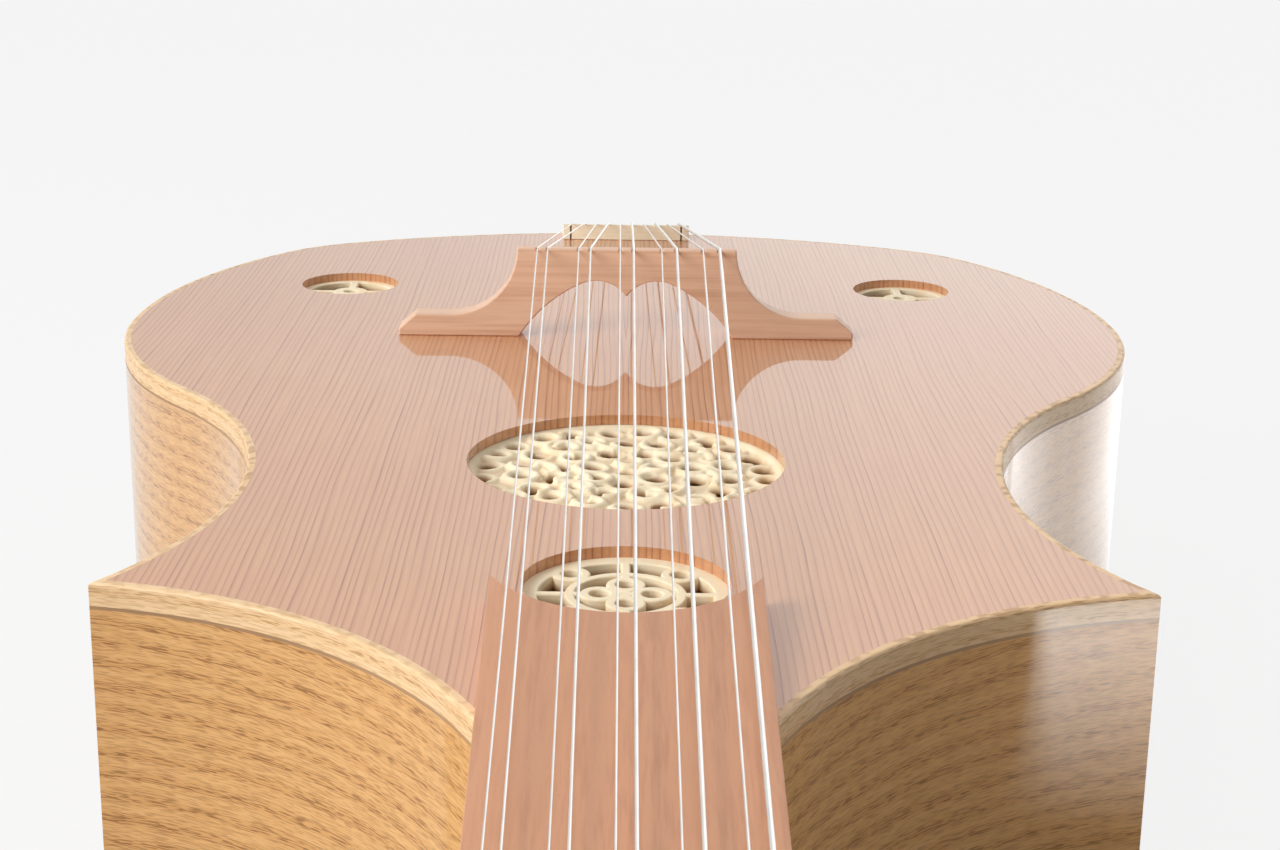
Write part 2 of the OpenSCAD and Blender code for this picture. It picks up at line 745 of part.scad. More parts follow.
// Half of the arch: a round crown, and a wide arc from it down to the soundboard
module arch_half() {
    cusp_drop = arch_h - arch_cusp_h;
    crown_r = (pow(arch_crown_x, 2) + pow(cusp_drop, 2)) / (2 * cusp_drop);
    crown_c = [arch_crown_x, arch_h - crown_r];
    foot = [arch_half_w, 0];
    flank_c = meet(crown_c, arch_flank_r - crown_r, foot, arch_flank_r, -1);
    translate(crown_c) circle(r = crown_r);
    intersection() {
        translate(flank_c) circle(r = arch_flank_r);
        polygon([flank_c, on_circle(flank_c, 2 * arch_flank_r, bearing(flank_c, foot)),
            on_circle(flank_c, 2 * arch_flank_r, bearing(flank_c, crown_c))]);
    }
    translate([0, -OVER]) square([arch_crown_x, crown_c.y + OVER]);
}

module bridge_face() {
    flank_r = bridge_h - bridge_toe_h;
    toe_dx = 5.5;
    toe_tip_h = 2.3;
    difference() {
        polygon([for (s = [-1, 1], p = s < 0 ? [0, 1, 2, 3, 4] : [4, 3, 2, 1, 0]) [
            s * [bridge_half_w, bridge_half_w, bridge_half_w - toe_dx, bridge_top_half_w + flank_r,
                 bridge_top_half_w][p],
            [0, toe_tip_h, bridge_toe_h, bridge_toe_h, bridge_h][p]
        ]]);
        for (s = [0, 1]) mirror([s, 0]) {
            translate([bridge_top_half_w + flank_r, bridge_h]) circle(r = flank_r);
            arch_half();
        }
        for (n = [0 : STRINGS - 1]) translate([bridge_x(n), bridge_h])
            square([string_d(n) + 4 * string_gap, 2 * bridge_notch_d], center = true);
    }
}

module bridge() {
    color(WOOD_RED) translate([0, 0, body_depth]) intersection() {
        rotate([90, 0, 0]) linear_extrude(2 * bridge_foot_t, center = true) bridge_face();
        rotate([90, 0, 90]) linear_extrude(4 * bridge_half_w, center = true) polygon([
            [-bridge_foot_t / 2, 0], [bridge_foot_t / 2, 0], [bridge_foot_t / 2, bridge_toe_h / 2],
            [bridge_top_t / 2, bridge_h], [-bridge_top_t / 2, bridge_h], [-bridge_foot_t / 2, bridge_toe_h / 2]
        ]);
    }
}

// Block on the tail edge with a chamfered front and a top that falls to the tail
module tail_saddle() {
    front = tail_y - saddle_l;
    chamfer = saddle_h / 6;
    color(WOOD_OAK) rotate([90, 0, 90]) linear_extrude(2 * saddle_half_w, center = true) polygon([
        [front - chamfer, body_depth], [tail_y, body_depth], [tail_y, saddle_back_z], [front, saddle_z]
    ]);
}

module hitch_pin_bodies(side) {
    for (n = [0 : STRINGS - 1]) if (tail_x(n) * side > 0) translate([tail_x(n), tail_y, pin_z])
        rotate([90, 0, 0]) translate([0, 0, -pin_d - PIN_OUT])
            cylinder(d = pin_d, h = tail_block_t / 2 + pin_d + PIN_OUT);
}

module hitch_pins() {
    color(BRASS) {
        for (side = [-1, 1]) hitch_pin_bodies(side);
        for (n = [0 : STRINGS - 1]) translate([tail_x(n), tail_y + pin_d + PIN_OUT, pin_z])
            rotate([-90, 0, 0]) cylinder(d = 1.6 * pin_d, h = PIN_HEAD_H);
    }
}

// Closed skin over a row of rings with equally many points, all wound the same way
module skin(rings) {
    count = len(rings[0]);
    last = len(rings) - 1;
    sides = [for (i = [0 : last - 1], k = [0 : count - 1]) let (
        j = (k + 1) % count, a = i * count, b = a + count
    ) each [[a + k, a + j, b + j], [a + k, b + j, b + k]]];
    caps = [[for (k = [count - 1 : -1 : 0]) k], [for (k = [0 : count - 1]) last * count + k]];
    polyhedron([for (ring = rings) each ring], concat(sides, caps));
}

// One string as a tube along its route
module string_tube(n) {
    route = string_route(n);
    last = len(route) - 1;
    skin([for (i = [0 : last]) let (
        way = unit(unit(route[min(i + 1, last)] - route[max(i - 1, 0)])
            + unit(route[min(i + 1, last)] - route[i < last ? i : i - 1])
            + unit(route[i > 0 ? i : 1] - route[max(i - 1, 0)])),
        across = unit(cross(way, [1, 0, 0])),
        beside = cross(across, way)
    ) [for (k = [0 : TUBE_SIDES - 1]) let (a = (k + 0.5) * 360 / TUBE_SIDES)
        route[i] + string_d(n) / 2 * (cos(a) * beside + sin(a) * across)]]);
}

module strings_course(c) {
    color(STEEL) for (n = [2 * c, 2 * c + 1]) string_tube(n);
}

module at_post(n) {
    translate([tuner_side(n) * post_x, post_y(tuner_row(n)), 0]) children();
}

// Worm axis of a tuner, turned so that +x points out to the button
module at_key(n) {
    at_post(n) translate([0, -worm_dy, worm_z]) mirror([tuner_side(n) < 0 ? 1 : 0, 0, 0]) children();
}

module along_shaft(x0, x1, r) {
    translate([x0, 0, 0]) rotate([0, 90, 0]) cylinder(r = r, h = x1 - x0);
}

// Strip under the headstock with two bored lugs for each worm
module tuner_plate(side) {
    first_y = post_y(0) + plate_over;
    long = (TUNERS_PER_SIDE - 1) * post_gap + 2 * plate_over;
    color(BRASS) in_head() difference() {
        union() {
            translate([side * post_x - plate_half_w, first_y - long, plate_z])
                cube([2 * plate_half_w, long, plate_t]);
            for (n = [0 : STRINGS - 1]) if (tuner_side(n) == side) at_key(n) for (s = [-1, 1])
                translate([s * lug_x - LUG_T / 2, -lug_half_w, 0]) {
                    cube([LUG_T, 2 * lug_half_w, plate_z - worm_z + plate_t / 2]);
                    translate([0, lug_half_w, 0]) rotate([0, 90, 0]) cylinder(r = lug_half_w, h = LUG_T);
                }
        }
        for (n = [0 : STRINGS - 1]) if (tuner_side(n) == side) {
            at_post(n) translate([0, 0, plate_z - OVER]) cylinder(r = post_r + bore_gap, h = plate_t + 2 * OVER);
            at_post(n) translate([0, screw_dy, plate_z - OVER]) cylinder(r = SCREW_R, h = plate_t + 2 * OVER);
            at_key(n) along_shaft(-lug_x - LUG_T, lug_x + LUG_T, shaft_r + bore_gap);
        }
    }
}

module post_bushings() {
    color(BRASS) in_head() for (n = [0 : STRINGS - 1]) at_post(n) difference() {
        union() {
            translate([0, 0, -BUSHING_L]) cylinder(r = bushing_r, h = BUSHING_L + FLANGE_T);
            cylinder(r = flange_r, h = FLANGE_T);
        }
        translate([0, 0, -BUSHING_L - OVER])
            cylinder(r = post_r + bore_gap, h = BUSHING_L + FLANGE_T + 2 * OVER);
    }
}

module plate_screws() {
    color(STEEL) in_head() for (n = [0 : STRINGS - 1]) at_post(n) translate([0, screw_dy, plate_z]) {
        cylinder(r = SCREW_R, h = SCREW_L);
        difference() {
            translate([0, 0, -SCREW_HEAD_H]) cylinder(r = SCREW_HEAD_R, h = SCREW_HEAD_H);
            translate([0, 0, -SCREW_HEAD_H]) cube([3 * SCREW_HEAD_R, SCREW_SLOT_W, SCREW_HEAD_H], center = true);
        }
    }
}

// Button, shaft and worm of one tuner
module tuner_key(n) {
    out = button_x - post_x;
    color(IVORY) in_head() at_key(n) {
        along_shaft(-lug_x - LUG_T / 2 - SHAFT_OUT, out + button_l / 2, shaft_r);
        along_shaft(-worm_l / 2, worm_l / 2, worm_r);
        along_shaft(out - button_gap / 2, out + button_l / 4, 1.4 * shaft_r);
        translate([out, 0, 0]) linear_extrude(button_t, center = true) intersection() {
            translate([0, -button_half_w]) square([button_l, 2 * button_half_w]);
            translate([button_l / 2, 0]) circle(r = 1.06 * button_half_w);
        }
    }
}

module gear_wheel() {
    root_r = 0.8 * gear_r;
    pitch = 360 / gear_teeth;
    linear_extrude(gear_t) polygon([
        for (k = [0 : gear_teeth - 1], p = [[root_r, -0.5], [root_r, -0.32], [gear_r, -0.14], [gear_r, 0.14],
                                            [root_r, 0.32]])
            on_circle([0, 0], p[0], (k + p[1]) * pitch)
    ]);
}

// String post with its waist and string hole, and the gear wheel under the plate
module tuner_post(n) {
    gear_z = worm_z - gear_t / 2;
    head_r = post_r - bore_gap;
    taper = POST_WAIST_HALF_H + POST_BEVEL;
    color(STEEL) in_head() at_post(n) {
        difference() {
            rotate_extrude() polygon([
                [0, worm_z], [post_r, worm_z], [post_r, post_string_h - taper],
                [post_waist_r, post_string_h - POST_WAIST_HALF_H], [post_waist_r, post_string_h + POST_WAIST_HALF_H],
                [head_r, post_string_h + taper], [head_r, post_h - POST_BEVEL], [head_r - POST_BEVEL, post_h],
                [0, post_h]
            ]);
            translate([0, 0, post_string_h]) rotate([90, 0, 0])
                cylinder(r = POST_HOLE_R, h = 4 * post_r, center = true);
        }
        translate([0, 0, gear_z]) gear_wheel();
        translate([0, 0, gear_z + gear_t])
            cylinder(r = post_r + GEAR_BOSS_W, h = plate_z - run_gap - gear_z - gear_t);
        translate([0, 0, gear_z - POST_FOOT_H]) cylinder(r = 0.85 * post_r, h = POST_FOOT_H);
    }
}

soundboard();
back_plate();
side_rib(-1);  // side_rib_left
side_rib(1);  // side_rib_right
shoulder_rib(-1);  // shoulder_rib_left
shoulder_rib(1);  // shoulder_rib_right
neck_block();
tail_block();
horn_block(-1);  // horn_block_left
horn_block(1);  // horn_block_right
top_linings();
back_linings();
top_braces();
back_braces();
top_binding();
top_purfling();
back_binding();
big_rosette();
small_rosette();
tiny_rosette(-1);  // tiny_rosette_left
tiny_rosette(1);  // tiny_rosette_right
neck();
fingerboard();
headstock();
nut();
bridge();
tail_saddle();
hitch_pins();
tuner_plate(-1);  // tuner_plate_left
tuner_plate(1);  // tuner_plate_right
post_bushings();
plate_screws();
for (c = [0 : COURSES - 1]) strings_course(c);
for (n = [0 : STRINGS - 1]) tuner_key(n);
for (n = [0 : STRINGS - 1]) tuner_post(n);
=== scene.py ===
"""Looks of a five-course bouzouki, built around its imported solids.

Units are metres in the row frame: +X to the bass strings, +Y to the tail, +Z up.
"""

import json
import logging
import math
import random
from dataclasses import dataclass
from enum import Enum
from typing import Iterable, Sequence

import bmesh
import bpy
from mathutils import Matrix, Vector


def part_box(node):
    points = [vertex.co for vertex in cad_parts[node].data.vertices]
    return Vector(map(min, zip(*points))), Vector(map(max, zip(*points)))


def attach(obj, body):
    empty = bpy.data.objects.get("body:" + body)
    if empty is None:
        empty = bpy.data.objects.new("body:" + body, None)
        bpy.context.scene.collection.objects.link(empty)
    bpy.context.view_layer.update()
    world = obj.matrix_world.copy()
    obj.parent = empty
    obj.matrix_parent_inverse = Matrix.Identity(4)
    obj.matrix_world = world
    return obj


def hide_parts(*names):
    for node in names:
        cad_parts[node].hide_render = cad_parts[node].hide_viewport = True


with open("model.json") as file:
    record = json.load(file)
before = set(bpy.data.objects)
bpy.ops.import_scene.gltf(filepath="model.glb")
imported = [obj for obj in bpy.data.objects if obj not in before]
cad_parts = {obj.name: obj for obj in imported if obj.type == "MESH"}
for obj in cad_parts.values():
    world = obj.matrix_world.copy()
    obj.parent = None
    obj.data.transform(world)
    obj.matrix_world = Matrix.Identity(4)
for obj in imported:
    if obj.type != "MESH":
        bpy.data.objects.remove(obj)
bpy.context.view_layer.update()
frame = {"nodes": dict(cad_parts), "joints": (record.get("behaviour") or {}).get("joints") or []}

LOG = logging.getLogger("bouzouki")
MM = 0.001
WELD = 1e-6
LEVEL = 10 * WELD
STEEP = 0.5
FULL_TURN = 2 * math.pi
FLAT_ANGLE = math.radians(0.5)
SHARP_ANGLE = math.radians(32)
ROOT = "instrument"
COURSES = 5
TUNERS = 10
STRING_THIN = 0.5 * MM
STRING_THIN_LAST = 0.6 * MM
STRING_THICK = 0.55 * MM
STRING_STEP = 0.14 * MM

Colour = tuple[float, float, float]
Place = tuple[float, float, float]
Span = tuple[float, float]
Edge = bmesh.types.BMEdge
Material = bpy.types.Material
Mesh = bmesh.types.BMesh
Socket = bpy.types.NodeSocket


def srgb(red: int, green: int, blue: int) -> Colour:
    """Turns an 8-bit screen colour into linear light.

    Args:
        red: Red from 0 to 255.
        green: Green from 0 to 255.
        blue: Blue from 0 to 255.

    Returns:
        The colour in linear light, each channel from 0 to 1.
    """
    def linear(value: int) -> float:
        """Undoes the screen curve of one channel."""
        part = value / 255
        return part / 12.92 if part <= 0.04045 else ((part + 0.055) / 1.055) ** 2.4

    return linear(red), linear(green), linear(blue)


class Lacquer(Enum):
    """Surface coats, each as base roughness, coat weight, coat roughness and specular level."""

    GLOSS = (0.5, 1.0, 0.02, 0.4)
    POLISH = (0.55, 0.35, 0.03, 0.25)
    SATIN = (0.5, 0.2, 0.22, 0.3)
    RAW = (0.75, 0.0, 0.5, 0.2)


class Grain(Enum):
    """Ways the grain runs, each as pattern rates along X, Y and Z and the way across the growth rings."""

    RIM = ((0.03, 0.03, 1.0), (0.0, 0.0, 1.0))
    LENGTH = ((1.0, 0.03, 1.0), (1.0, 0.0, 0.6))
    LONG = ((1.0, 0.006, 1.0), (1.0, 0.0, 0.6))
    WIDTH = ((0.03, 1.0, 1.0), (0.0, 1.0, 0.6))

    @property
    def rates(self) -> Place:
        """How fast a pattern changes along each axis."""
        return self.value[0]

    @property
    def across(self) -> Place:
        """Direction across the growth rings."""
        return self.value[1]


class NodeSheet:
    """A node tree, with short ways to add nodes to it."""

    def __init__(self, tree: bpy.types.NodeTree, space: str) -> None:
        """Starts from a tree and its coordinates.

        Args:
            tree: Tree to add nodes to.
            space: Kind of coordinates that patterns read.
        """
        self.tree = tree
        self.coords = tree.nodes.new("ShaderNodeTexCoord").outputs[space]

    def put(self, socket: Socket, value: object) -> None:
        """Links a value to a socket if it is an output, and sets it otherwise.

        Args:
            socket: Input to fill.
            value: An output socket or a plain value.
        """
        if isinstance(value, Socket):
            self.tree.links.new(value, socket)
        else:
            socket.default_value = value

    def math(self, operation: str, first: object, *others: object) -> Socket:
        """Adds a Math node for each further value, one after the other.

        Args:
            operation: Blender's name of the operation.
            first: First value or output.
            *others: Further values or outputs, none where the operation takes one.

        Returns:
            The last node's output.
        """
        for other in others or (0.0,):
            node = self.tree.nodes.new("ShaderNodeMath")
            node.operation = operation
            self.put(node.inputs[0], first)
            self.put(node.inputs[1], other)
            first = node.outputs[0]
        return first

    def axes(self, vector: Socket) -> tuple[Socket, ...]:
        """Splits a vector.

        Args:
            vector: Vector output.

        Returns:
            Its X, Y and Z outputs.
        """
        node = self.tree.nodes.new("ShaderNodeSeparateXYZ")
        self.put(node.inputs[0], vector)
        return node.outputs[0], node.outputs[1], node.outputs[2]

    def along(self, way: Place) -> Socket:
        """Measures the coordinates along a direction.

        Args:
            way: The direction.

        Returns:
            The distance along it.
        """
        node = self.tree.nodes.new("ShaderNodeVectorMath")
        node.operation = "DOT_PRODUCT"
        self.put(node.inputs[0], self.coords)
        node.inputs[1].default_value = way
        return node.outputs["Value"]

    def stretched(self, scale: Sequence[float]) -> Socket:
        """Scales the coordinates along each axis.

        Args:
            scale: Factor along X, Y and Z.

        Returns:
            The scaled coordinates.
        """
        node = self.tree.nodes.new("ShaderNodeMapping")
        self.put(node.inputs["Vector"], self.coords)
        node.inputs["Scale"].default_value = tuple(scale)
        return node.outputs[0]

    def noise(self, vector: Socket, scale: float, detail: float = 2.0) -> Socket:
        """Adds a Noise Texture.

        Args:
            vector: Coordinates of the noise.
            scale: Repeats per metre.
            detail: Octaves of finer noise.

        Returns:
            The noise from 0 to 1.
        """
        node = self.tree.nodes.new("ShaderNodeTexNoise")
        self.put(node.inputs["Vector"], vector)
        node.inputs["Scale"].default_value = scale
        node.inputs["Detail"].default_value = detail
        return node.outputs[0]

    def ramp(self, factor: object, stops: Iterable[tuple[float, Colour]]) -> Socket:
        """Adds a Color Ramp.

        Args:
            factor: Value that runs along the ramp.
            stops: Places from 0 to 1 with their colours.

        Returns:
            The colour output.
        """
        node = self.tree.nodes.new("ShaderNodeValToRGB")
        self.put(node.inputs[0], factor)
        elements = node.color_ramp.elements
        for index, (place, colour) in enumerate(stops):
            element = elements[index] if index < 2 else elements.new(place)
            element.position = place
            element.color = (*colour, 1.0)
        return node.outputs[0]

    def curve(self, factor: object, stops: Iterable[tuple[float, float]]) -> Socket:
        """Adds a grey Color Ramp.

        Args:
            factor: Value that runs along the ramp.
            stops: Places from 0 to 1 with their levels.

        Returns:
            The level output.
        """
        return self.ramp(factor, [(place, (level, level, level)) for place, level in stops])

    def band(self, factor: object, low: float, high: float, ends: Span = (0.0, 1.0),
             way: str = "LINEAR") -> Socket:
        """Stretches a span of a value to another range.

        Args:
            factor: Value to stretch.
            low: Value that becomes the first end.
            high: Value that becomes the second end.
            ends: Ends of the new range.
            way: Blender's name of the interpolation.

        Returns:
            The clamped result.
        """
        node = self.tree.nodes.new("ShaderNodeMapRange")
        node.interpolation_type = way
        for socket, value in zip(node.inputs, (factor, low, high, *ends)):
            self.put(socket, value)
        return node.outputs[0]

    def mix(self, factor: object, first: object, second: object, blend: str = "MIX") -> Socket:
        """Mixes two colours.

        Args:
            factor: Share of the second colour.
            first: First colour or output.
            second: Second colour or output.
            blend: Blender's name of the blend.

        Returns:
            The mixed colour.
        """
        node = self.tree.nodes.new("ShaderNodeMix")
        node.data_type = "RGBA"
        node.blend_type = blend
        self.put(node.inputs[0], factor)
        for socket, value in ((node.inputs[6], first), (node.inputs[7], second)):
            self.put(socket, (*value, 1.0) if isinstance(value, tuple) else value)
        return node.outputs[2]

    def chance(self, number: object) -> Socket:
        """Gives each whole number its own chance value.

        Args:
            number: Value whose whole part counts.

        Returns:
            A value from 0 to 1.
        """
        node = self.tree.nodes.new("ShaderNodeTexWhiteNoise")
        node.noise_dimensions = "1D"
        self.put(node.inputs["W"], self.math("FLOOR", number))
        return node.outputs["Value"]

    def rays(self) -> tuple[Socket, Socket]:
        """Tells the rays from the camera, and from mirrors and glass, from all others.

        Returns:
            1 on a ray from the camera, and 1 on a ray from a mirror or glass.
        """
        path = self.tree.nodes.new("ShaderNodeLightPath").outputs
        mirrored = self.math("MAXIMUM", path["Is Glossy Ray"], path["Is Transmission Ray"])
        return path["Is Camera Ray"], mirrored

    def glow(self, kind: str, strength: object) -> Socket:
        """Adds a shader that gives neutral light.

        Args:
            kind: Blender's name of the shader node.
            strength: Strength of the light.

        Returns:
            The shader.
        """
        node = self.tree.nodes.new(kind)
        node.inputs["Color"].default_value = (1.0, 1.0, 1.0, 1.0)
        self.put(node.inputs["Strength"], strength)
        return node.outputs[0]

    def choose(self, factor: Socket, first: Socket, second: Socket) -> Socket:
        """Mixes two shaders.

        Args:
            factor: Share of the second shader.
            first: First shader.
            second: Second shader.

        Returns:
            The mixed shader.
        """
        node = self.tree.nodes.new("ShaderNodeMixShader")
        for socket, value in zip(node.inputs, (factor, first, second)):
            self.put(socket, value)
        return node.outputs[0]


class FinishSheet(NodeSheet):
    """A new material's node tree, around its principled shader."""

    def __init__(self, name: str) -> None:
        """Starts a material that reads Object coordinates.

        Args:
            name: Name of the material.
        """
        self.material = bpy.data.materials.new(name)
        self.material.use_nodes = True
        super().__init__(self.material.node_tree, "Object")
        self.shader = self.tree.nodes["Principled BSDF"]

    def bump(self, height: object, depth: float, strength: float) -> None:
        """Feeds a height to the shader's normal.

        Args:
            height: Height from 0 to 1.
            depth: Size of a full step in metres.
            strength: Share of the effect.
        """
        node = self.tree.nodes.new("ShaderNodeBump")
        node.inputs["Strength"].default_value = strength
        node.inputs["Distance"].default_value = depth
        self.put(node.inputs["Height"], height)
        self.put(self.shader.inputs["Normal"], node.outputs[0])

    def coat(self, lacquer: Lacquer) -> None:
        """Sets the shader's roughness and coat.

        Args:
            lacquer: Coat to use.
        """
        rough, weight, coat_rough, level = lacquer.value
        self.shader.inputs["Roughness"].default_value = rough
        self.shader.inputs["Coat Weight"].default_value = weight
        self.shader.inputs["Coat Roughness"].default_value = coat_rough
        self.shader.inputs["Specular IOR Level"].default_value = level


@dataclass(frozen=True)
class GrowthLineWood:
    """Quarter-cut softwood with thin dark growth lines along Y, matched about the centre line."""

    name: str
    pale: Colour
    warm: Colour
    dark: Colour
    line_gap: float = 1.8 * MM
    wander: float = 7 * MM
    ripple: float = 0.6 * MM
    looseness: float = 1.5
    lacquer: Lacquer = Lacquer.GLOSS

    def material(self) -> Material:
        """Builds the material.

        Returns:
            The finished material.
        """
        sheet = FinishSheet(self.name)
        across, _, _ = sheet.axes(sheet.coords)
        folded = sheet.math("ABSOLUTE", across)
        drift = sheet.noise(sheet.stretched((2.0, 0.5, 0.0)), 8.0)
        ripple = sheet.noise(sheet.stretched((1.0, 0.25, 0.0)), 70.0, 1.0)
        moved = sheet.math("ADD", folded, sheet.math("MULTIPLY", drift, self.wander),
                           sheet.math("MULTIPLY", ripple, self.ripple))
        loose = sheet.noise(sheet.stretched((1.0, 0.004, 0.0)), 210.0, 1.0)
        rings = sheet.math("ADD", sheet.math("DIVIDE", moved, self.line_gap),
                           sheet.math("MULTIPLY", loose, self.looseness))
        year = sheet.math("FRACT", rings)
        late = sheet.curve(year, ((0.0, 0.35), (0.1, 0.0), (0.5, 0.0), (0.76, 0.35), (0.88, 1.0),
                                  (0.95, 1.0), (1.0, 0.35)))
        weight = sheet.math("ADD", 0.45, sheet.math("MULTIPLY", sheet.chance(rings), 0.55))
        patchy = sheet.band(sheet.noise(sheet.stretched((1.0, 0.06, 0.0)), 220.0, 2.0), 0.15, 0.5)
        late = sheet.math("MULTIPLY", late, weight, patchy)
        wood = sheet.mix(late, self.pale, self.dark)
        fibre = sheet.noise(sheet.stretched((1.0, 0.03, 1.0)), 1500.0, 3.0)
        wood = sheet.mix(sheet.math("MULTIPLY", sheet.band(fibre, 0.35, 0.75), 0.7), wood, self.warm)
        flecks = sheet.noise(sheet.stretched((0.5, 1.0, 1.0)), 1100.0, 2.0)
        wood = sheet.mix(sheet.math("MULTIPLY", sheet.band(flecks, 0.55, 0.75), 0.25), wood, self.warm)
        patch = sheet.noise(sheet.stretched((1.0, 0.35, 1.0)), 11.0)
        tint = sheet.ramp(patch, ((0.3, (0.92, 0.9, 0.88)), (0.7, (1.0, 1.0, 1.0))))
        wood = sheet.mix(1.0, wood, tint, "MULTIPLY")
        sheet.put(sheet.shader.inputs["Base Color"], wood)
        sheet.bump(late, 0.02 * MM, 0.08)
        sheet.coat(self.lacquer)
        return sheet.material


@dataclass(frozen=True)
class PoredWood:
    """Ring-porous hardwood: growth bands with dense short pores, and paler wood between them."""

    name: str
    pale: Colour
    brown: Colour
    pore: Colour
    grain: Grain
    slope: float = 0.0
    ring_gap: float = 5.5 * MM
    streak: float = 1900.0
    dashes: float = 4200.0
    lacquer: Lacquer = Lacquer.POLISH

    def material(self) -> Material:
        """Builds the material.

        Returns:
            The finished material.
        """
        sheet = FinishSheet(self.name)
        x, y, z = sheet.axes(sheet.coords)
        leaned = sheet.math("SUBTRACT", z, sheet.math("MULTIPLY", sheet.math("ABSOLUTE", x), self.slope))
        join = sheet.tree.nodes.new("ShaderNodeCombineXYZ")
        for socket, value in zip(join.inputs, (x, y, leaned)):
            sheet.put(socket, value)
        sheet.coords = join.outputs[0]
        rates = self.grain.rates
        slow = sheet.noise(sheet.stretched(tuple(0.12 + 0.5 * rate for rate in rates)), 34.0, 2.0)
        rings = sheet.math("ADD", sheet.math("DIVIDE", sheet.along(self.grain.across), self.ring_gap),
                           sheet.math("MULTIPLY", slow, 3.0))
        year = sheet.math("FRACT", rings)
        early = sheet.curve(year, ((0.0, 0.25), (0.15, 1.0), (0.35, 0.8), (0.65, 0.1), (1.0, 0.25)))
        wood = sheet.mix(sheet.math("MULTIPLY", early, 0.7), self.pale, self.brown)
        fibres = sheet.stretched(tuple(rate * 2.2 if rate < 1 else rate for rate in rates))
        streak = sheet.noise(fibres, self.streak, 3.0)
        wood = sheet.mix(sheet.math("MULTIPLY", sheet.band(streak, 0.4, 0.66), 0.6), wood, self.brown)
        dashes = sheet.noise(fibres, self.dashes, 0.5)
        dense = sheet.math("ADD", 0.3, sheet.math("MULTIPLY", early, 0.7))
        pores = sheet.math("MULTIPLY", sheet.band(dashes, 0.5, 0.61), dense)
        wood = sheet.mix(sheet.math("MULTIPLY", pores, 0.85), wood, self.pore)
        sheet.put(sheet.shader.inputs["Base Color"], wood)
        sheet.bump(sheet.math("SUBTRACT", 1.0, pores), 0.04 * MM, 0.15)
        sheet.coat(self.lacquer)
        return sheet.material


INLAY_HALF_W = 0.35 * MM
INLAY_BROWN = srgb(96, 62, 40)
# Height over which the painted shade at the bottom of a carving fades out.
PAINTED_SHADE_FADE = 2.2 * MM


@dataclass(frozen=True)
class FineWood:
    """Close-grained wood with soft streaks along the grain, which can also take painted shade low in a
    carving.
    """

    name: str
    pale: Colour
    dark: Colour
    grain: Grain
    lacquer: Lacquer = Lacquer.SATIN
    streak: float = 420.0
    inlay_x: float = 0.0
    painted_shade_z: float = 0.0
    painted_shade: Colour = (0.0, 0.0, 0.0)

    def material(self) -> Material:
        """Builds the material.

        Returns:
            The finished material.
        """
        sheet = FinishSheet(self.name)
        rates = self.grain.rates
        streaks = sheet.noise(sheet.stretched(rates), self.streak, 4.0)
        wood = sheet.ramp(streaks, ((0.3, self.dark), (0.55, self.pale), (0.8, self.pale)))
        tone = sheet.noise(sheet.stretched(rates), self.streak / 6, 2.0)
        muted = tuple(0.95 * part for part in self.pale)
        wood = sheet.mix(sheet.band(tone, 0.45, 0.75), wood, muted)
        hair = sheet.noise(sheet.stretched(rates), 3 * self.streak, 2.0)
        hairs = sheet.band(hair, 0.6, 0.74)
        wood = sheet.mix(sheet.math("MULTIPLY", hairs, 0.45), wood, self.dark)
        if self.inlay_x:
            across = sheet.math("ABSOLUTE", sheet.axes(sheet.coords)[0])
            beside = sheet.math("ABSOLUTE", sheet.math("SUBTRACT", across, self.inlay_x))
            line = sheet.math("LESS_THAN", beside, INLAY_HALF_W)
            wood = sheet.mix(line, wood, INLAY_BROWN)
        # Painted shade: towards the bottom of a carving the wood fades to a darker colour, standing in for
        # the shade in its recesses.
        if self.painted_shade_z:
            height = sheet.axes(sheet.coords)[2]
            wood = sheet.mix(sheet.band(height, self.painted_shade_z, self.painted_shade_z + PAINTED_SHADE_FADE), self.painted_shade, wood)
        sheet.put(sheet.shader.inputs["Base Color"], wood)
        sheet.bump(sheet.math("SUBTRACT", 1.0, hairs), 0.03 * MM, 0.25)
        sheet.coat(self.lacquer)
        return sheet.material


@dataclass(frozen=True)
class Metal:
    """Brushed, turned or drawn metal with fine marks and a little tarnish."""

    name: str
    bright: Colour
    dull: Colour
    roughness: float
    marks: Place = (1.0, 1.0, 1.0)
    mark_rate: float = 1200.0
    winding: float = 0.0

    def material(self) -> Material:
        """Builds the material.

        Returns:
            The finished material.
        """
        sheet = FinishSheet(self.name)
        tarnish = sheet.noise(sheet.stretched((1.0, 1.0, 1.0)), 90.0, 4.0)
        tone = sheet.mix(sheet.band(tarnish, 0.45, 0.8), self.bright, self.dull)
        scratch = sheet.noise(sheet.stretched(self.marks), self.mark_rate, 3.0)
        sheet.put(sheet.shader.inputs["Base Color"], tone)
        sheet.shader.inputs["Metallic"].default_value = 1.0
        rough = sheet.math("ADD", self.roughness, sheet.math("MULTIPLY", scratch, 0.12))
        sheet.put(sheet.shader.inputs["Roughness"], rough)
        height = scratch
        if self.winding:
            _, y, _ = sheet.axes(sheet.coords)
            height = sheet.math("PINGPONG", sheet.math("DIVIDE", y, self.winding), 1.0)
        sheet.bump(height, 0.05 * MM if self.winding else 0.01 * MM, 0.5)
        return sheet.material


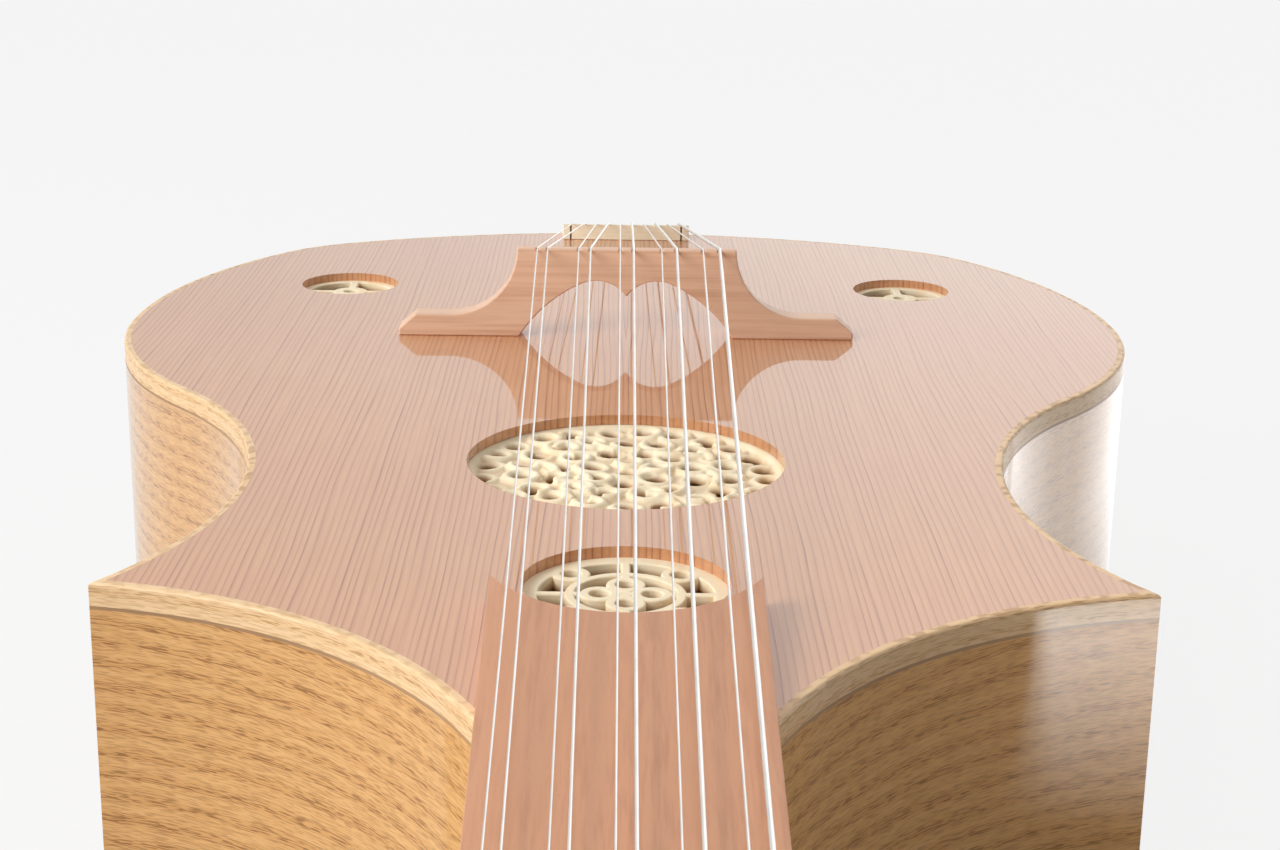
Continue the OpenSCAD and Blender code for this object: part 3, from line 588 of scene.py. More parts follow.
@dataclass(frozen=True)
class Bone:
    """Polished bone with faint streaks and a soft glow under the surface."""

    name: str
    pale: Colour
    dark: Colour

    def material(self) -> Material:
        """Builds the material.

        Returns:
            The finished material.
        """
        sheet = FinishSheet(self.name)
        streaks = sheet.noise(sheet.stretched((0.2, 1.0, 1.0)), 500.0, 3.0)
        tone = sheet.ramp(streaks, ((0.35, self.dark), (0.6, self.pale)))
        sheet.put(sheet.shader.inputs["Base Color"], tone)
        sheet.shader.inputs["Roughness"].default_value = 0.28
        sheet.shader.inputs["Subsurface Weight"].default_value = 0.15
        sheet.shader.inputs["Subsurface Radius"].default_value = (2 * MM, 1.5 * MM, MM)
        sheet.bump(streaks, 0.01 * MM, 0.2)
        return sheet.material


class Finishes:
    """Every finish of the instrument, made once."""

    def __init__(self) -> None:
        """Makes the materials."""
        pale, brown, pore = srgb(228, 179, 118), srgb(206, 152, 90), srgb(140, 92, 46)
        self.top = GrowthLineWood("top_cedar", srgb(218, 161, 117), srgb(202, 142, 100),
                                  srgb(148, 78, 44)).material()
        self.shoulder = PoredWood("oak_shoulder", pale, brown, pore, Grain.RIM, slope=0.05).material()
        self.rib = PoredWood("oak_rib", pale, brown, pore, Grain.RIM, slope=0.05,
                             lacquer=Lacquer.GLOSS).material()
        self.long_oak = PoredWood("oak_long", pale, brown, pore, Grain.LENGTH).material()
        self.binding = PoredWood("oak_binding", srgb(242, 208, 163), srgb(228, 186, 135), srgb(180, 136, 88),
                                 Grain.RIM, ring_gap=4 * MM).material()
        self.purfling = FineWood("purfling_stain", srgb(178, 140, 100), srgb(140, 106, 74), Grain.RIM,
                                 Lacquer.POLISH).material()
        # The carving gets painted shade: its wood is darker towards its underside.
        self.carved = FineWood("carved_pear", srgb(255, 241, 210), srgb(252, 228, 188), Grain.LENGTH,
                               Lacquer.RAW, streak=260.0, painted_shade_z=88.9 * MM,
                               painted_shade=srgb(190, 138, 86)).material()
        self.inside = FineWood("spruce_inside", srgb(222, 188, 142), srgb(190, 150, 104), Grain.WIDTH,
                               Lacquer.RAW).material()
        self.board = FineWood("board_cherry", srgb(211, 153, 116), srgb(198, 140, 105), Grain.LONG,
                              streak=900.0).material()
        self.bridge = FineWood("bridge_cherry", srgb(235, 194, 164), srgb(216, 170, 139), Grain.WIDTH,
                               streak=700.0).material()
        self.saddle = FineWood("saddle_box", srgb(255, 242, 214), srgb(250, 226, 190), Grain.WIDTH,
                               inlay_x=21.5 * MM).material()
        self.bone = Bone("bone", srgb(240, 232, 210), srgb(226, 212, 184)).material()
        self.brass = Metal("brass", srgb(222, 188, 116), srgb(184, 148, 86), 0.28,
                           (0.1, 1.0, 1.0)).material()
        self.steel = Metal("turned_steel", srgb(206, 206, 208), srgb(176, 176, 180), 0.24).material()
        self.string = Metal("string_steel", srgb(240, 239, 236), srgb(224, 222, 218), 0.3, (1.0, 0.05, 1.0),
                            winding=0.35 * MM).material()


def merged(node: str) -> Mesh:
    """Copies a CAD node with its loose triangles joined and its flat faces made whole.

    Args:
        node: Name of the CAD node.

    Returns:
        The copy.
    """
    bm = bmesh.new()
    bm.from_mesh(frame["nodes"][node].data)
    bmesh.ops.remove_doubles(bm, verts=bm.verts, dist=WELD)
    bmesh.ops.dissolve_limit(bm, angle_limit=FLAT_ANGLE, verts=bm.verts, edges=bm.edges)
    return bm


def sharp_edges(bm: Mesh, over: float = 0.0) -> list[Edge]:
    """Lists the edges between faces that meet at a sharp angle.

    Args:
        bm: Mesh to look through.
        over: Length under which an edge is left out.

    Returns:
        The sharp edges.
    """
    return [edge for edge in bm.edges if len(edge.link_faces) == 2
            and edge.calc_face_angle(0.0) > SHARP_ANGLE and edge.calc_length() > over]


def soften(bm: Mesh, edges: Sequence[Edge], width: float, segments: int = 2) -> None:
    """Rounds edges.

    Args:
        bm: Mesh to change.
        edges: Edges to round.
        width: Width of the rounding.
        segments: Faces across it.
    """
    bmesh.ops.bevel(bm, geom=list(edges), offset=width, offset_type="OFFSET", segments=segments, profile=0.5,
                    affect="EDGES", material=-1, clamp_overlap=False)


def shade(bm: Mesh) -> None:
    """Shades a mesh smooth and keeps its sharp edges.

    Args:
        bm: Mesh to change.
    """
    for face in bm.faces:
        face.smooth = True
    for edge in bm.edges:
        edge.smooth = edge.calc_face_angle(0.0) < SHARP_ANGLE


def place_piece(bm: Mesh, name: str, body: str, finish: Material,
                stands_for: Sequence[str] = ()) -> bpy.types.Object:
    """Makes an object of a finished mesh and gives it its body and finish.

    Args:
        bm: Finished mesh, which is freed.
        name: Name of the piece.
        body: CAD body that it moves with.
        finish: Material.
        stands_for: CAD nodes that it replaces.

    Returns:
        The new object.
    """
    shade(bm)
    mesh = bpy.data.meshes.new(name)
    bm.to_mesh(mesh)
    bm.free()
    mesh.materials.append(finish)
    piece = bpy.data.objects.new(name, mesh)
    bpy.context.scene.collection.objects.link(piece)
    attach(piece, body)
    if stands_for:
        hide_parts(*stands_for)
    weighted = piece.modifiers.new("even_shading", "WEIGHTED_NORMAL")
    weighted.keep_sharp = True
    LOG.info("piece %s rides on %s", name, body)
    return piece


def dressed_copy(node: str, body: str, finish: Material, round_by: float = 0.0,
                 segments: int = 2, over: float = 0.0) -> None:
    """Replaces a CAD node by a smooth copy, with its edges rounded if asked.

    Args:
        node: Name of the CAD node.
        body: CAD body that it belongs to.
        finish: Material.
        round_by: Width of the rounding, or 0 for none.
        segments: Faces across the rounding.
        over: Length under which an edge stays sharp.
    """
    bm = merged(node)
    if round_by:
        soften(bm, sharp_edges(bm, over), round_by, segments)
    place_piece(bm, f"{node}_dressed", body, finish, (node,))


def paint(node: str, finish: Material) -> None:
    """Gives a CAD node a finish and leaves its shape.

    Args:
        node: Name of the CAD node.
        finish: Material.
    """
    materials = frame["nodes"][node].data.materials
    materials.clear()
    materials.append(finish)
    LOG.info("painted %s", node)


@dataclass
class SoundBox:
    """Soundboard, ribs, back, edge trim and the pieces inside."""

    edge_round: float = 0.9 * MM
    middle: Place = (0.0, -150 * MM, 0.0)

    def outer_edges(self, bm: Mesh, height: float, facing: float) -> list[Edge]:
        """Lists the edges along the outside of an edge band at one height.

        Args:
            bm: Mesh of the band.
            height: Height of the edges.
            facing: Z of the flat face's normal, 1 or -1.

        Returns:
            The edges.
        """
        found = []
        for edge in sharp_edges(bm):
            level = all(abs(vert.co.z - height) < LEVEL for vert in edge.verts)
            walls = [face.normal for face in edge.link_faces if abs(face.normal.z) < STEEP]
            caps = [face for face in edge.link_faces if face.normal.z * facing > STEEP]
            if level and walls and caps:
                centre = (edge.verts[0].co + edge.verts[1].co) / 2 - Vector(self.middle)
                if walls[0].dot(centre) > 0:
                    found.append(edge)
        return found

    def build_binding(self, node: str, top: bool, finish: Material) -> None:
        """Rounds the outer edge of a binding.

        Args:
            node: Name of the binding's CAD node.
            top: True for the top binding.
            finish: Material.
        """
        low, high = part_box(node)
        bm = merged(node)
        edges = self.outer_edges(bm, high.z if top else low.z, 1.0 if top else -1.0)
        soften(bm, edges, self.edge_round, 3)
        place_piece(bm, f"{node}_dressed", ROOT, finish, (node,))

    def build(self, finishes: Finishes) -> None:
        """Builds and dresses the pieces.

        Args:
            finishes: Finishes of the instrument.
        """
        dressed_copy("soundboard", ROOT, finishes.top)
        dressed_copy("back_plate", ROOT, finishes.long_oak)
        for side in ("left", "right"):
            dressed_copy(f"side_rib_{side}", ROOT, finishes.rib)
            dressed_copy(f"shoulder_rib_{side}", ROOT, finishes.shoulder)
        self.build_binding("top_binding", True, finishes.binding)
        self.build_binding("back_binding", False, finishes.binding)
        dressed_copy("top_purfling", ROOT, finishes.purfling)
        for node in ("neck_block", "tail_block", "horn_block_left", "horn_block_right", "top_linings",
                     "back_linings", "top_braces", "back_braces"):
            paint(node, finishes.inside)


CROWN_STEPS = 6
LEAST_STEPS = 5
STEPS_PER_RADIAN = 4


@dataclass(frozen=True)
class Strand:
    """A round-topped carved strand along an arc about a point of the disc.

    Its sizes are the arc's radius, first angle and sweep, the strand's width, the height of its flat
    underside and round top, and how far it leans over.
    """

    spot: Vector
    radius: float
    start: float
    sweep: float
    width: float
    low: float
    high: float
    lean: float = 0.0

    def carve(self, bm: Mesh) -> None:
        """Adds the strand to a mesh.

        Args:
            bm: Mesh to add to.
        """
        half = self.width / 2
        crown = [(half * math.cos(turn), self.high - half + half * math.sin(turn))
                 for turn in (math.pi * step / CROWN_STEPS for step in range(CROWN_STEPS + 1))]
        outline = [(half, self.low), *crown, (-half, self.low)]
        verts = [bm.verts.new((self.radius + reach, 0.0, height)) for reach, height in outline]
        edges = [bm.edges.new((verts[step - 1], verts[step])) for step in range(len(verts))]
        before = set(bm.verts) - set(verts)
        closed = self.sweep >= FULL_TURN
        made = bmesh.ops.spin(bm, geom=verts + edges, cent=(0, 0, 0), axis=(0, 0, 1), angle=self.sweep,
                              steps=max(LEAST_STEPS, round(self.sweep * STEPS_PER_RADIAN)), use_merge=closed)
        if not closed:
            last = [item for item in made["geom_last"] if isinstance(item, Edge)]
            bmesh.ops.holes_fill(bm, edges=edges + last, sides=len(outline))
        new = [vert for vert in bm.verts if vert not in before]
        for vert in new:
            if vert.co.z > self.low + WELD:
                vert.co.z += self.lean * vert.co.x / self.radius
        turn = Matrix.Translation((self.spot.x, self.spot.y, 0.0)) @ Matrix.Rotation(self.start, 4, "Z")
        bmesh.ops.transform(bm, matrix=turn, verts=new)


@dataclass
class Rosettes:
    """Carved discs under the sound holes."""

    strand_w: float = 2.7 * MM
    lip: float = 4 * MM
    rim_w: float = 2.4 * MM
    rings: int = 4
    eyes_per_ring: int = 6
    stems: int = 16
    web_t: float = 1.7 * MM
    grain_size: float = 0.44 * MM
    edge_round: float = 0.45 * MM
    seed: int = 11
    eye_shift: Span = (-0.9 * MM, 0.9 * MM)
    ring_share: float = 0.55
    curl_sweep: Span = (3.6, 5.4)
    curl_r: Span = (3.5 * MM, 4.3 * MM)
    curl_w: Span = (0.9, 1.1)
    curl_drop: Span = (0.0, 1.3 * MM)
    curl_lean: Span = (0.0, 0.5 * MM)
    stem_reach: Span = (0.25, 0.7)
    stem_r: Span = (6 * MM, 10 * MM)
    stem_sweep: Span = (0.7, 1.5)
    stem_w: float = 0.95
    stem_drop: Span = (0.0, 0.4 * MM)

    def eyes(self, hole_r: float) -> list[Vector]:
        """Lists the places of the eyes, in rings about the middle.

        Args:
            hole_r: Radius of the sound hole.

        Returns:
            The places, measured from the middle of the disc.
        """
        pitch = hole_r / (self.rings + 0.5)
        places = [Vector()]
        for ring in range(1, self.rings + 1):
            count = self.eyes_per_ring * ring
            for step in range(count):
                turn = FULL_TURN * (step + 0.5) / count
                places.append(ring * pitch * Vector((math.cos(turn), math.sin(turn), 0.0)))
        return places

    def vine(self, hole_r: float, low: float, high: float) -> list[Strand]:
        """Lays out the curls around the eyes and the stems between them.

        Args:
            hole_r: Radius of the sound hole.
            low: Height of the underside.
            high: Height of the highest tops.

        Returns:
            The strands.
        """
        dice = random.Random(self.seed)
        pick = dice.uniform
        strands = []
        for eye in self.eyes(hole_r):
            shift = Vector((pick(*self.eye_shift), pick(*self.eye_shift), 0.0))
            sweep = FULL_TURN if dice.random() < self.ring_share else pick(*self.curl_sweep)
            strands.append(Strand(eye + shift, pick(*self.curl_r), pick(0, FULL_TURN), sweep,
                                  self.strand_w * pick(*self.curl_w), low, high - pick(*self.curl_drop),
                                  pick(*self.curl_lean)))
        for step in range(self.stems):
            turn = FULL_TURN * (step + dice.random()) / self.stems
            reach = hole_r * pick(*self.stem_reach)
            spot = reach * Vector((math.cos(turn), math.sin(turn), 0.0))
            strands.append(Strand(spot, pick(*self.stem_r), pick(0, FULL_TURN), pick(*self.stem_sweep),
                                  self.stem_w * self.strand_w, low, high - pick(*self.stem_drop)))
        return strands

    def build_big(self, finish: Material) -> None:
        """Builds the vine rosette: a rim, curls around the eyes and stems, carved from one disc.

        Args:
            finish: Material.
        """
        node = "big_rosette"
        low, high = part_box(node)
        middle = (low + high) / 2
        disc_r = (high.x - low.x) / 2
        hole_r = disc_r - self.lip
        bm = merged(node)
        bmesh.ops.translate(bm, verts=bm.verts, vec=(-middle.x, -middle.y, 0.0))
        for vert in bm.verts:
            vert.co.z = min(vert.co.z, low.z + self.web_t)
        rim_w = self.lip + self.rim_w
        strands = [Strand(Vector(), disc_r - rim_w / 2, 0.0, FULL_TURN, rim_w, low.z, high.z)]
        strands += self.vine(hole_r, low.z, high.z)
        for strand in strands:
            strand.carve(bm)
        for vert in bm.verts:
            if vert.co.xy.length > hole_r - self.rim_w:
                vert.co.z = min(vert.co.z, high.z)
        bmesh.ops.recalc_face_normals(bm, faces=bm.faces)
        bmesh.ops.translate(bm, verts=bm.verts, vec=(middle.x, middle.y, 0.0))
        piece = place_piece(bm, "big_rosette_carved", ROOT, finish, (node,))
        joined = piece.modifiers.new("one_carving", "REMESH")
        joined.mode = "VOXEL"
        joined.voxel_size = self.grain_size
        joined.use_smooth_shade = True
        piece.modifiers.move(1, 0)

    def build(self, finishes: Finishes) -> None:
        """Builds the rosettes.

        Args:
            finishes: Finishes of the instrument.
        """
        self.build_big(finishes.carved)
        for node in ("small_rosette", "tiny_rosette_left", "tiny_rosette_right"):
            dressed_copy(node, ROOT, finishes.carved, self.edge_round, 3)


@dataclass
class NeckAndHead:
    """Neck, fingerboard, nut and headstock."""

    head_round: float = 1.4 * MM
    head_clear: float = 25 * MM
    bore_edge: float = 2.5 * MM
    board_round: float = 0.6 * MM
    board_edge: float = 40 * MM
    nut_round: float = 0.15 * MM

    def build_headstock(self, finish: Material) -> None:
        """Rounds the headstock's outline, and leaves its bores and its joint to the neck sharp.

        Args:
            finish: Material.
        """
        node = "headstock"
        joint_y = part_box(node)[1].y - self.head_clear
        bm = merged(node)
        outline = [edge for edge in sharp_edges(bm, self.bore_edge)
                   if min(vert.co.y for vert in edge.verts) < joint_y]
        soften(bm, outline, self.head_round, 3)
        place_piece(bm, f"{node}_dressed", ROOT, finish, (node,))

    def build(self, finishes: Finishes) -> None:
        """Builds and dresses the pieces.

        Args:
            finishes: Finishes of the instrument.
        """
        dressed_copy("neck", ROOT, finishes.long_oak)
        dressed_copy("fingerboard", ROOT, finishes.board, self.board_round, 3, self.board_edge)
        self.build_headstock(finishes.long_oak)
        dressed_copy("nut", ROOT, finishes.bone, self.nut_round)


def string_thickness(number: int) -> float:
    """Gives a string's diameter: each course has a thin one and a thick one.

    Args:
        number: Number of the string from the left.

    Returns:
        The diameter in metres.
    """
    course = (number + 1) // 2
    if number % 2 == 0:
        return STRING_THICK + STRING_STEP * (course - 1)
    return STRING_THIN_LAST if course == COURSES else STRING_THIN


def turned(bm: Mesh, profile: Sequence[tuple[float, float]], steps: int = 24) -> None:
    """Turns a profile about X.

    Args:
        bm: Mesh to add to.
        profile: Places along X with their radii, from end to end.
        steps: Faces around.
    """
    verts = [bm.verts.new((place, 0.0, radius)) for place, radius in profile]
    edges = [bm.edges.new(pair) for pair in zip(verts, verts[1:])]
    bmesh.ops.spin(bm, geom=verts + edges, cent=(0, 0, 0), axis=(1, 0, 0), angle=FULL_TURN, steps=steps,
                   use_merge=True)
    bmesh.ops.remove_doubles(bm, verts=bm.verts, dist=WELD)


def wound(bm: Mesh, outline: Sequence[tuple[float, float]], turns: float, lead: float,
          steps: int = 20) -> None:
    """Winds a closed outline about Z, rising with each turn, or makes one closed loop where it doesn't rise.

    Args:
        bm: Mesh to add to.
        outline: Distances from the axis with their heights.
        turns: Turns; a negative number winds the other way.
        lead: Rise in a turn; negative to go down.
        steps: Faces in a turn.
    """
    verts = [bm.verts.new((reach, 0.0, height)) for reach, height in outline]
    edges = [bm.edges.new((verts[step - 1], verts[step])) for step in range(len(verts))]
    made = bmesh.ops.spin(bm, geom=verts + edges, cent=(0, 0, 0), axis=(0, 0, 1), angle=FULL_TURN * turns,
                          steps=round(abs(turns) * steps), dvec=(0, 0, lead / steps), use_merge=not lead)
    if lead:
        last = [item for item in made["geom_last"] if isinstance(item, Edge)]
        bmesh.ops.holes_fill(bm, edges=edges + last, sides=len(outline))


def wire(reach: float, thick: float, sides: int = 8) -> list[tuple[float, float]]:
    """Gives the outline of a round wire for winding.

    Args:
        reach: Distance of the wire's middle from the axis.
        thick: Diameter of the wire.
        sides: Sides of the outline.

    Returns:
        Distances from the axis with their heights.
    """
    turns = [FULL_TURN * step / sides for step in range(sides)]
    return [(reach + thick / 2 * math.cos(turn), thick / 2 * math.sin(turn)) for turn in turns]


@dataclass
class BridgeAndTail:
    """Bridge, tail saddle, hitch pins and strings."""

    bridge_round: float = 0.6 * MM
    saddle_round: float = 0.5 * MM
    pin_r: float = 1.2 * MM
    pin_gap: float = 4.6 * MM
    pin_round: float = 0.25 * MM
    string_gap: float = 0.3 * MM
    twist_turns: float = 6.0
    twist_thick: float = 0.8
    twist_rise: float = 1.1

    def tie(self, number: int, finish: Material) -> None:
        """Ties a string's end: a loop around its hitch pin and a twist above it.

        Args:
            number: Number of the string from the left.
            finish: Material.
        """
        pins_low, pins_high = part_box("hitch_pins")
        thick = string_thickness(number)
        end_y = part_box("tail_saddle")[1].y + self.string_gap + thick / 2
        pin_x = (number - 0.5 - TUNERS / 2) * self.pin_gap
        pin_z = (pins_low.z + pins_high.z) / 2
        reach = self.pin_r + thick / 2
        bm = bmesh.new()
        wound(bm, wire(reach, thick), turns=1.0, lead=0.0, steps=24)
        bmesh.ops.rotate(bm, verts=bm.verts, cent=(0, 0, 0), matrix=Matrix.Rotation(math.pi / 2, 3, "X"))
        loop = list(bm.verts)
        wound(bm, wire(thick, self.twist_thick * thick, sides=6), self.twist_turns, self.twist_rise * thick,
              steps=10)
        twist = [vert for vert in bm.verts if vert not in set(loop)]
        bmesh.ops.translate(bm, verts=twist, vec=(0.0, 0.0, reach + thick))
        bmesh.ops.translate(bm, verts=bm.verts, vec=(pin_x, end_y, pin_z))
        bmesh.ops.recalc_face_normals(bm, faces=bm.faces)
        place_piece(bm, f"string_{number}_tie", ROOT, finish)

    def build(self, finishes: Finishes) -> None:
        """Builds and dresses the pieces.

        Args:
            finishes: Finishes of the instrument.
        """
        dressed_copy("bridge", ROOT, finishes.bridge, self.bridge_round, 3)
        dressed_copy("tail_saddle", ROOT, finishes.saddle, self.saddle_round, 3)
        dressed_copy("hitch_pins", ROOT, finishes.brass, self.pin_round)
        for course in range(1, COURSES + 1):
            dressed_copy(f"strings_course_{course}", ROOT, finishes.string)
        for number in range(1, TUNERS + 1):
            self.tie(number, finishes.string)


@dataclass
class Tuners:
    """Machine heads: plates, bushings, screws, keys, posts and the strings' windings on them."""

    plate_round: float = 0.25 * MM
    screw_round: float = 0.2 * MM
    post_round: float = 0.12 * MM
    button_sides: int = 40
    button_l: float = 16 * MM
    button_w: float = 18 * MM
    button_t: float = 7 * MM
    button_round: float = 2.6 * MM
    button_square: float = 0.8
    dish_w: float = 1.5 * MM
    dish: float = 0.5 * MM
    shaft_r: float = 1.9 * MM
    collar_r: float = 2.7 * MM
    collar_l: float = 2.4 * MM
    worm_core_r: float = 2.1 * MM
    worm_r: float = 2.75 * MM
    worm_l: float = 8 * MM
    worm_lead: float = 2.6 * MM
    thread_foot: float = 0.36
    thread_crest: float = 0.14
    ease: float = 0.25 * MM
    string_h: float = 6 * MM
    coil_r: float = 2.8 * MM
    coil_turns: float = 2.5
    coil_rise: float = 1.04
    coil_drop: float = 1.06

    def stand(self, joint: str, side: float) -> Matrix:
        """Gives the place of a joint with X out of the head and Z along the posts.

        Args:
            joint: Name of the joint.
            side: 1 on the right of the head and -1 on the left.

        Returns:
            The place as a matrix.
        """
        rows = {item["name"]: item for item in frame["joints"]}
        upright = Vector(rows["tuner_post_1_turn"]["axis"]).normalized()
        outward = Vector((side, 0.0, 0.0))
        turn = Matrix((outward, upright.cross(outward), upright)).transposed().to_4x4()
        return Matrix.Translation(rows[joint]["pos_m"]) @ turn

    def build_button(self, key: str, place: Matrix, end: float, finish: Material) -> None:
        """Builds a pillow-shaped button with a shallow dish on each face.

        Args:
            key: Name of the key.
            place: Place of the key.
            end: Distance of the button's outer end from the key's middle.
            finish: Material.
        """
        bm = bmesh.new()
        bmesh.ops.create_circle(bm, cap_ends=True, segments=self.button_sides, radius=1.0)
        for vert in bm.verts:
            square = [math.copysign(abs(part) ** self.button_square, part) for part in vert.co.xy]
            vert.co = (square[0] * self.button_l / 2, square[1] * self.button_w / 2, -self.button_t / 2)
        made = bmesh.ops.extrude_face_region(bm, geom=bm.faces[:])
        raised = [item for item in made["geom"] if isinstance(item, bmesh.types.BMVert)]
        bmesh.ops.translate(bm, verts=raised, vec=(0.0, 0.0, self.button_t))
        bmesh.ops.recalc_face_normals(bm, faces=bm.faces)
        soften(bm, sharp_edges(bm), self.button_round, 6)
        caps = [face for face in bm.faces if len(face.verts) == self.button_sides]
        bmesh.ops.inset_region(bm, faces=caps, thickness=self.dish_w, depth=-self.dish, use_even_offset=True)
        bmesh.ops.translate(bm, verts=bm.verts, vec=(end - self.button_l / 2, 0.0, 0.0))
        bmesh.ops.transform(bm, matrix=place, verts=bm.verts)
        place_piece(bm, f"{key}_button", key, finish, (key,))

    def build_shaft(self, key: str, place: Matrix, inner: float, end: float, finish: Material) -> None:
        """Builds a key's turned shaft with its worm and collar.

        Args:
            key: Name of the key.
            place: Place of the key.
            inner: Distance of the shaft's inner end from the key's middle.
            end: Distance of the button's outer end from the key's middle.
            finish: Material.
        """
        half, ease = self.worm_l / 2, self.ease
        root = end - self.button_l
        bm = bmesh.new()
        turned(bm, ((-inner, 0.0), (-inner, self.shaft_r - ease), (-inner + ease, self.shaft_r),
                    (-half, self.shaft_r), (-half, self.worm_core_r), (half, self.worm_core_r),
                    (half, self.shaft_r), (root - self.collar_l, self.shaft_r),
                    (root - self.collar_l + ease, self.collar_r - ease),
                    (root - self.collar_l + 2 * ease, self.collar_r), (root - 2 * ease, self.collar_r),
                    (root, self.collar_r - ease), (root + MM, self.shaft_r), (root + MM, 0.0)))
        smooth = list(bm.verts)
        foot, crest = self.thread_foot * self.worm_lead, self.thread_crest * self.worm_lead
        turns = (self.worm_l - 2 * foot) / self.worm_lead
        wound(bm, ((self.worm_core_r - ease, -foot), (self.worm_r, -crest), (self.worm_r, crest),
                   (self.worm_core_r - ease, foot)), turns, self.worm_lead)
        thread = [vert for vert in bm.verts if vert not in set(smooth)]
        bmesh.ops.translate(bm, verts=thread, vec=(0.0, 0.0, foot - half))
        bmesh.ops.rotate(bm, verts=thread, cent=(0, 0, 0), matrix=Matrix.Rotation(math.pi / 2, 3, "Y"))
        bmesh.ops.transform(bm, matrix=place, verts=bm.verts)
        bmesh.ops.recalc_face_normals(bm, faces=bm.faces)
        place_piece(bm, f"{key}_shaft", key, finish)

    def build_winding(self, number: int, side: float, finish: Material) -> None:
        """Winds a string's end around its post, under the height at which the string arrives.

        Args:
            number: Number of the post.
            side: 1 on the right of the head and -1 on the left.
            finish: Material.
        """
        post = f"tuner_post_{number}"
        thick = string_thickness(number)
        bm = bmesh.new()
        wound(bm, wire(self.coil_r + thick / 2, thick), -self.coil_turns, -self.coil_rise * thick)
        if side > 0:
            bmesh.ops.scale(bm, verts=bm.verts, vec=(1.0, -1.0, 1.0))
        bmesh.ops.rotate(bm, verts=bm.verts, cent=(0, 0, 0), matrix=Matrix.Rotation(math.pi, 3, "Z"))
        bmesh.ops.translate(bm, verts=bm.verts, vec=(0.0, 0.0, self.string_h - self.coil_drop * thick))
        bmesh.ops.transform(bm, matrix=self.stand(f"{post}_turn", side), verts=bm.verts)
        bmesh.ops.recalc_face_normals(bm, faces=bm.faces)
        place_piece(bm, f"{post}_winding", post, finish)

    def build(self, finishes: Finishes) -> None:
        """Builds and dresses the pieces.

        Args:
            finishes: Finishes of the instrument.
        """
        for node in ("tuner_plate_left", "tuner_plate_right", "post_bushings"):
            dressed_copy(node, ROOT, finishes.brass, self.plate_round)
        dressed_copy("plate_screws", ROOT, finishes.steel, self.screw_round)
        for number in range(1, TUNERS + 1):
            key, post = f"tuner_key_{number}", f"tuner_post_{number}"
            low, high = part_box(key)
            side = math.copysign(1.0, low.x + high.x)
            place = self.stand(f"{key}_turn", side)
            reaches = sorted(side * (edge.x - place.translation.x) for edge in (low, high))
            self.build_button(key, place, reaches[1], finishes.bone)
            self.build_shaft(key, place, -reaches[0], reaches[1], finishes.brass)
            dressed_copy(post, post, finishes.steel, self.post_round)
            self.build_winding(number, side, finishes.string)


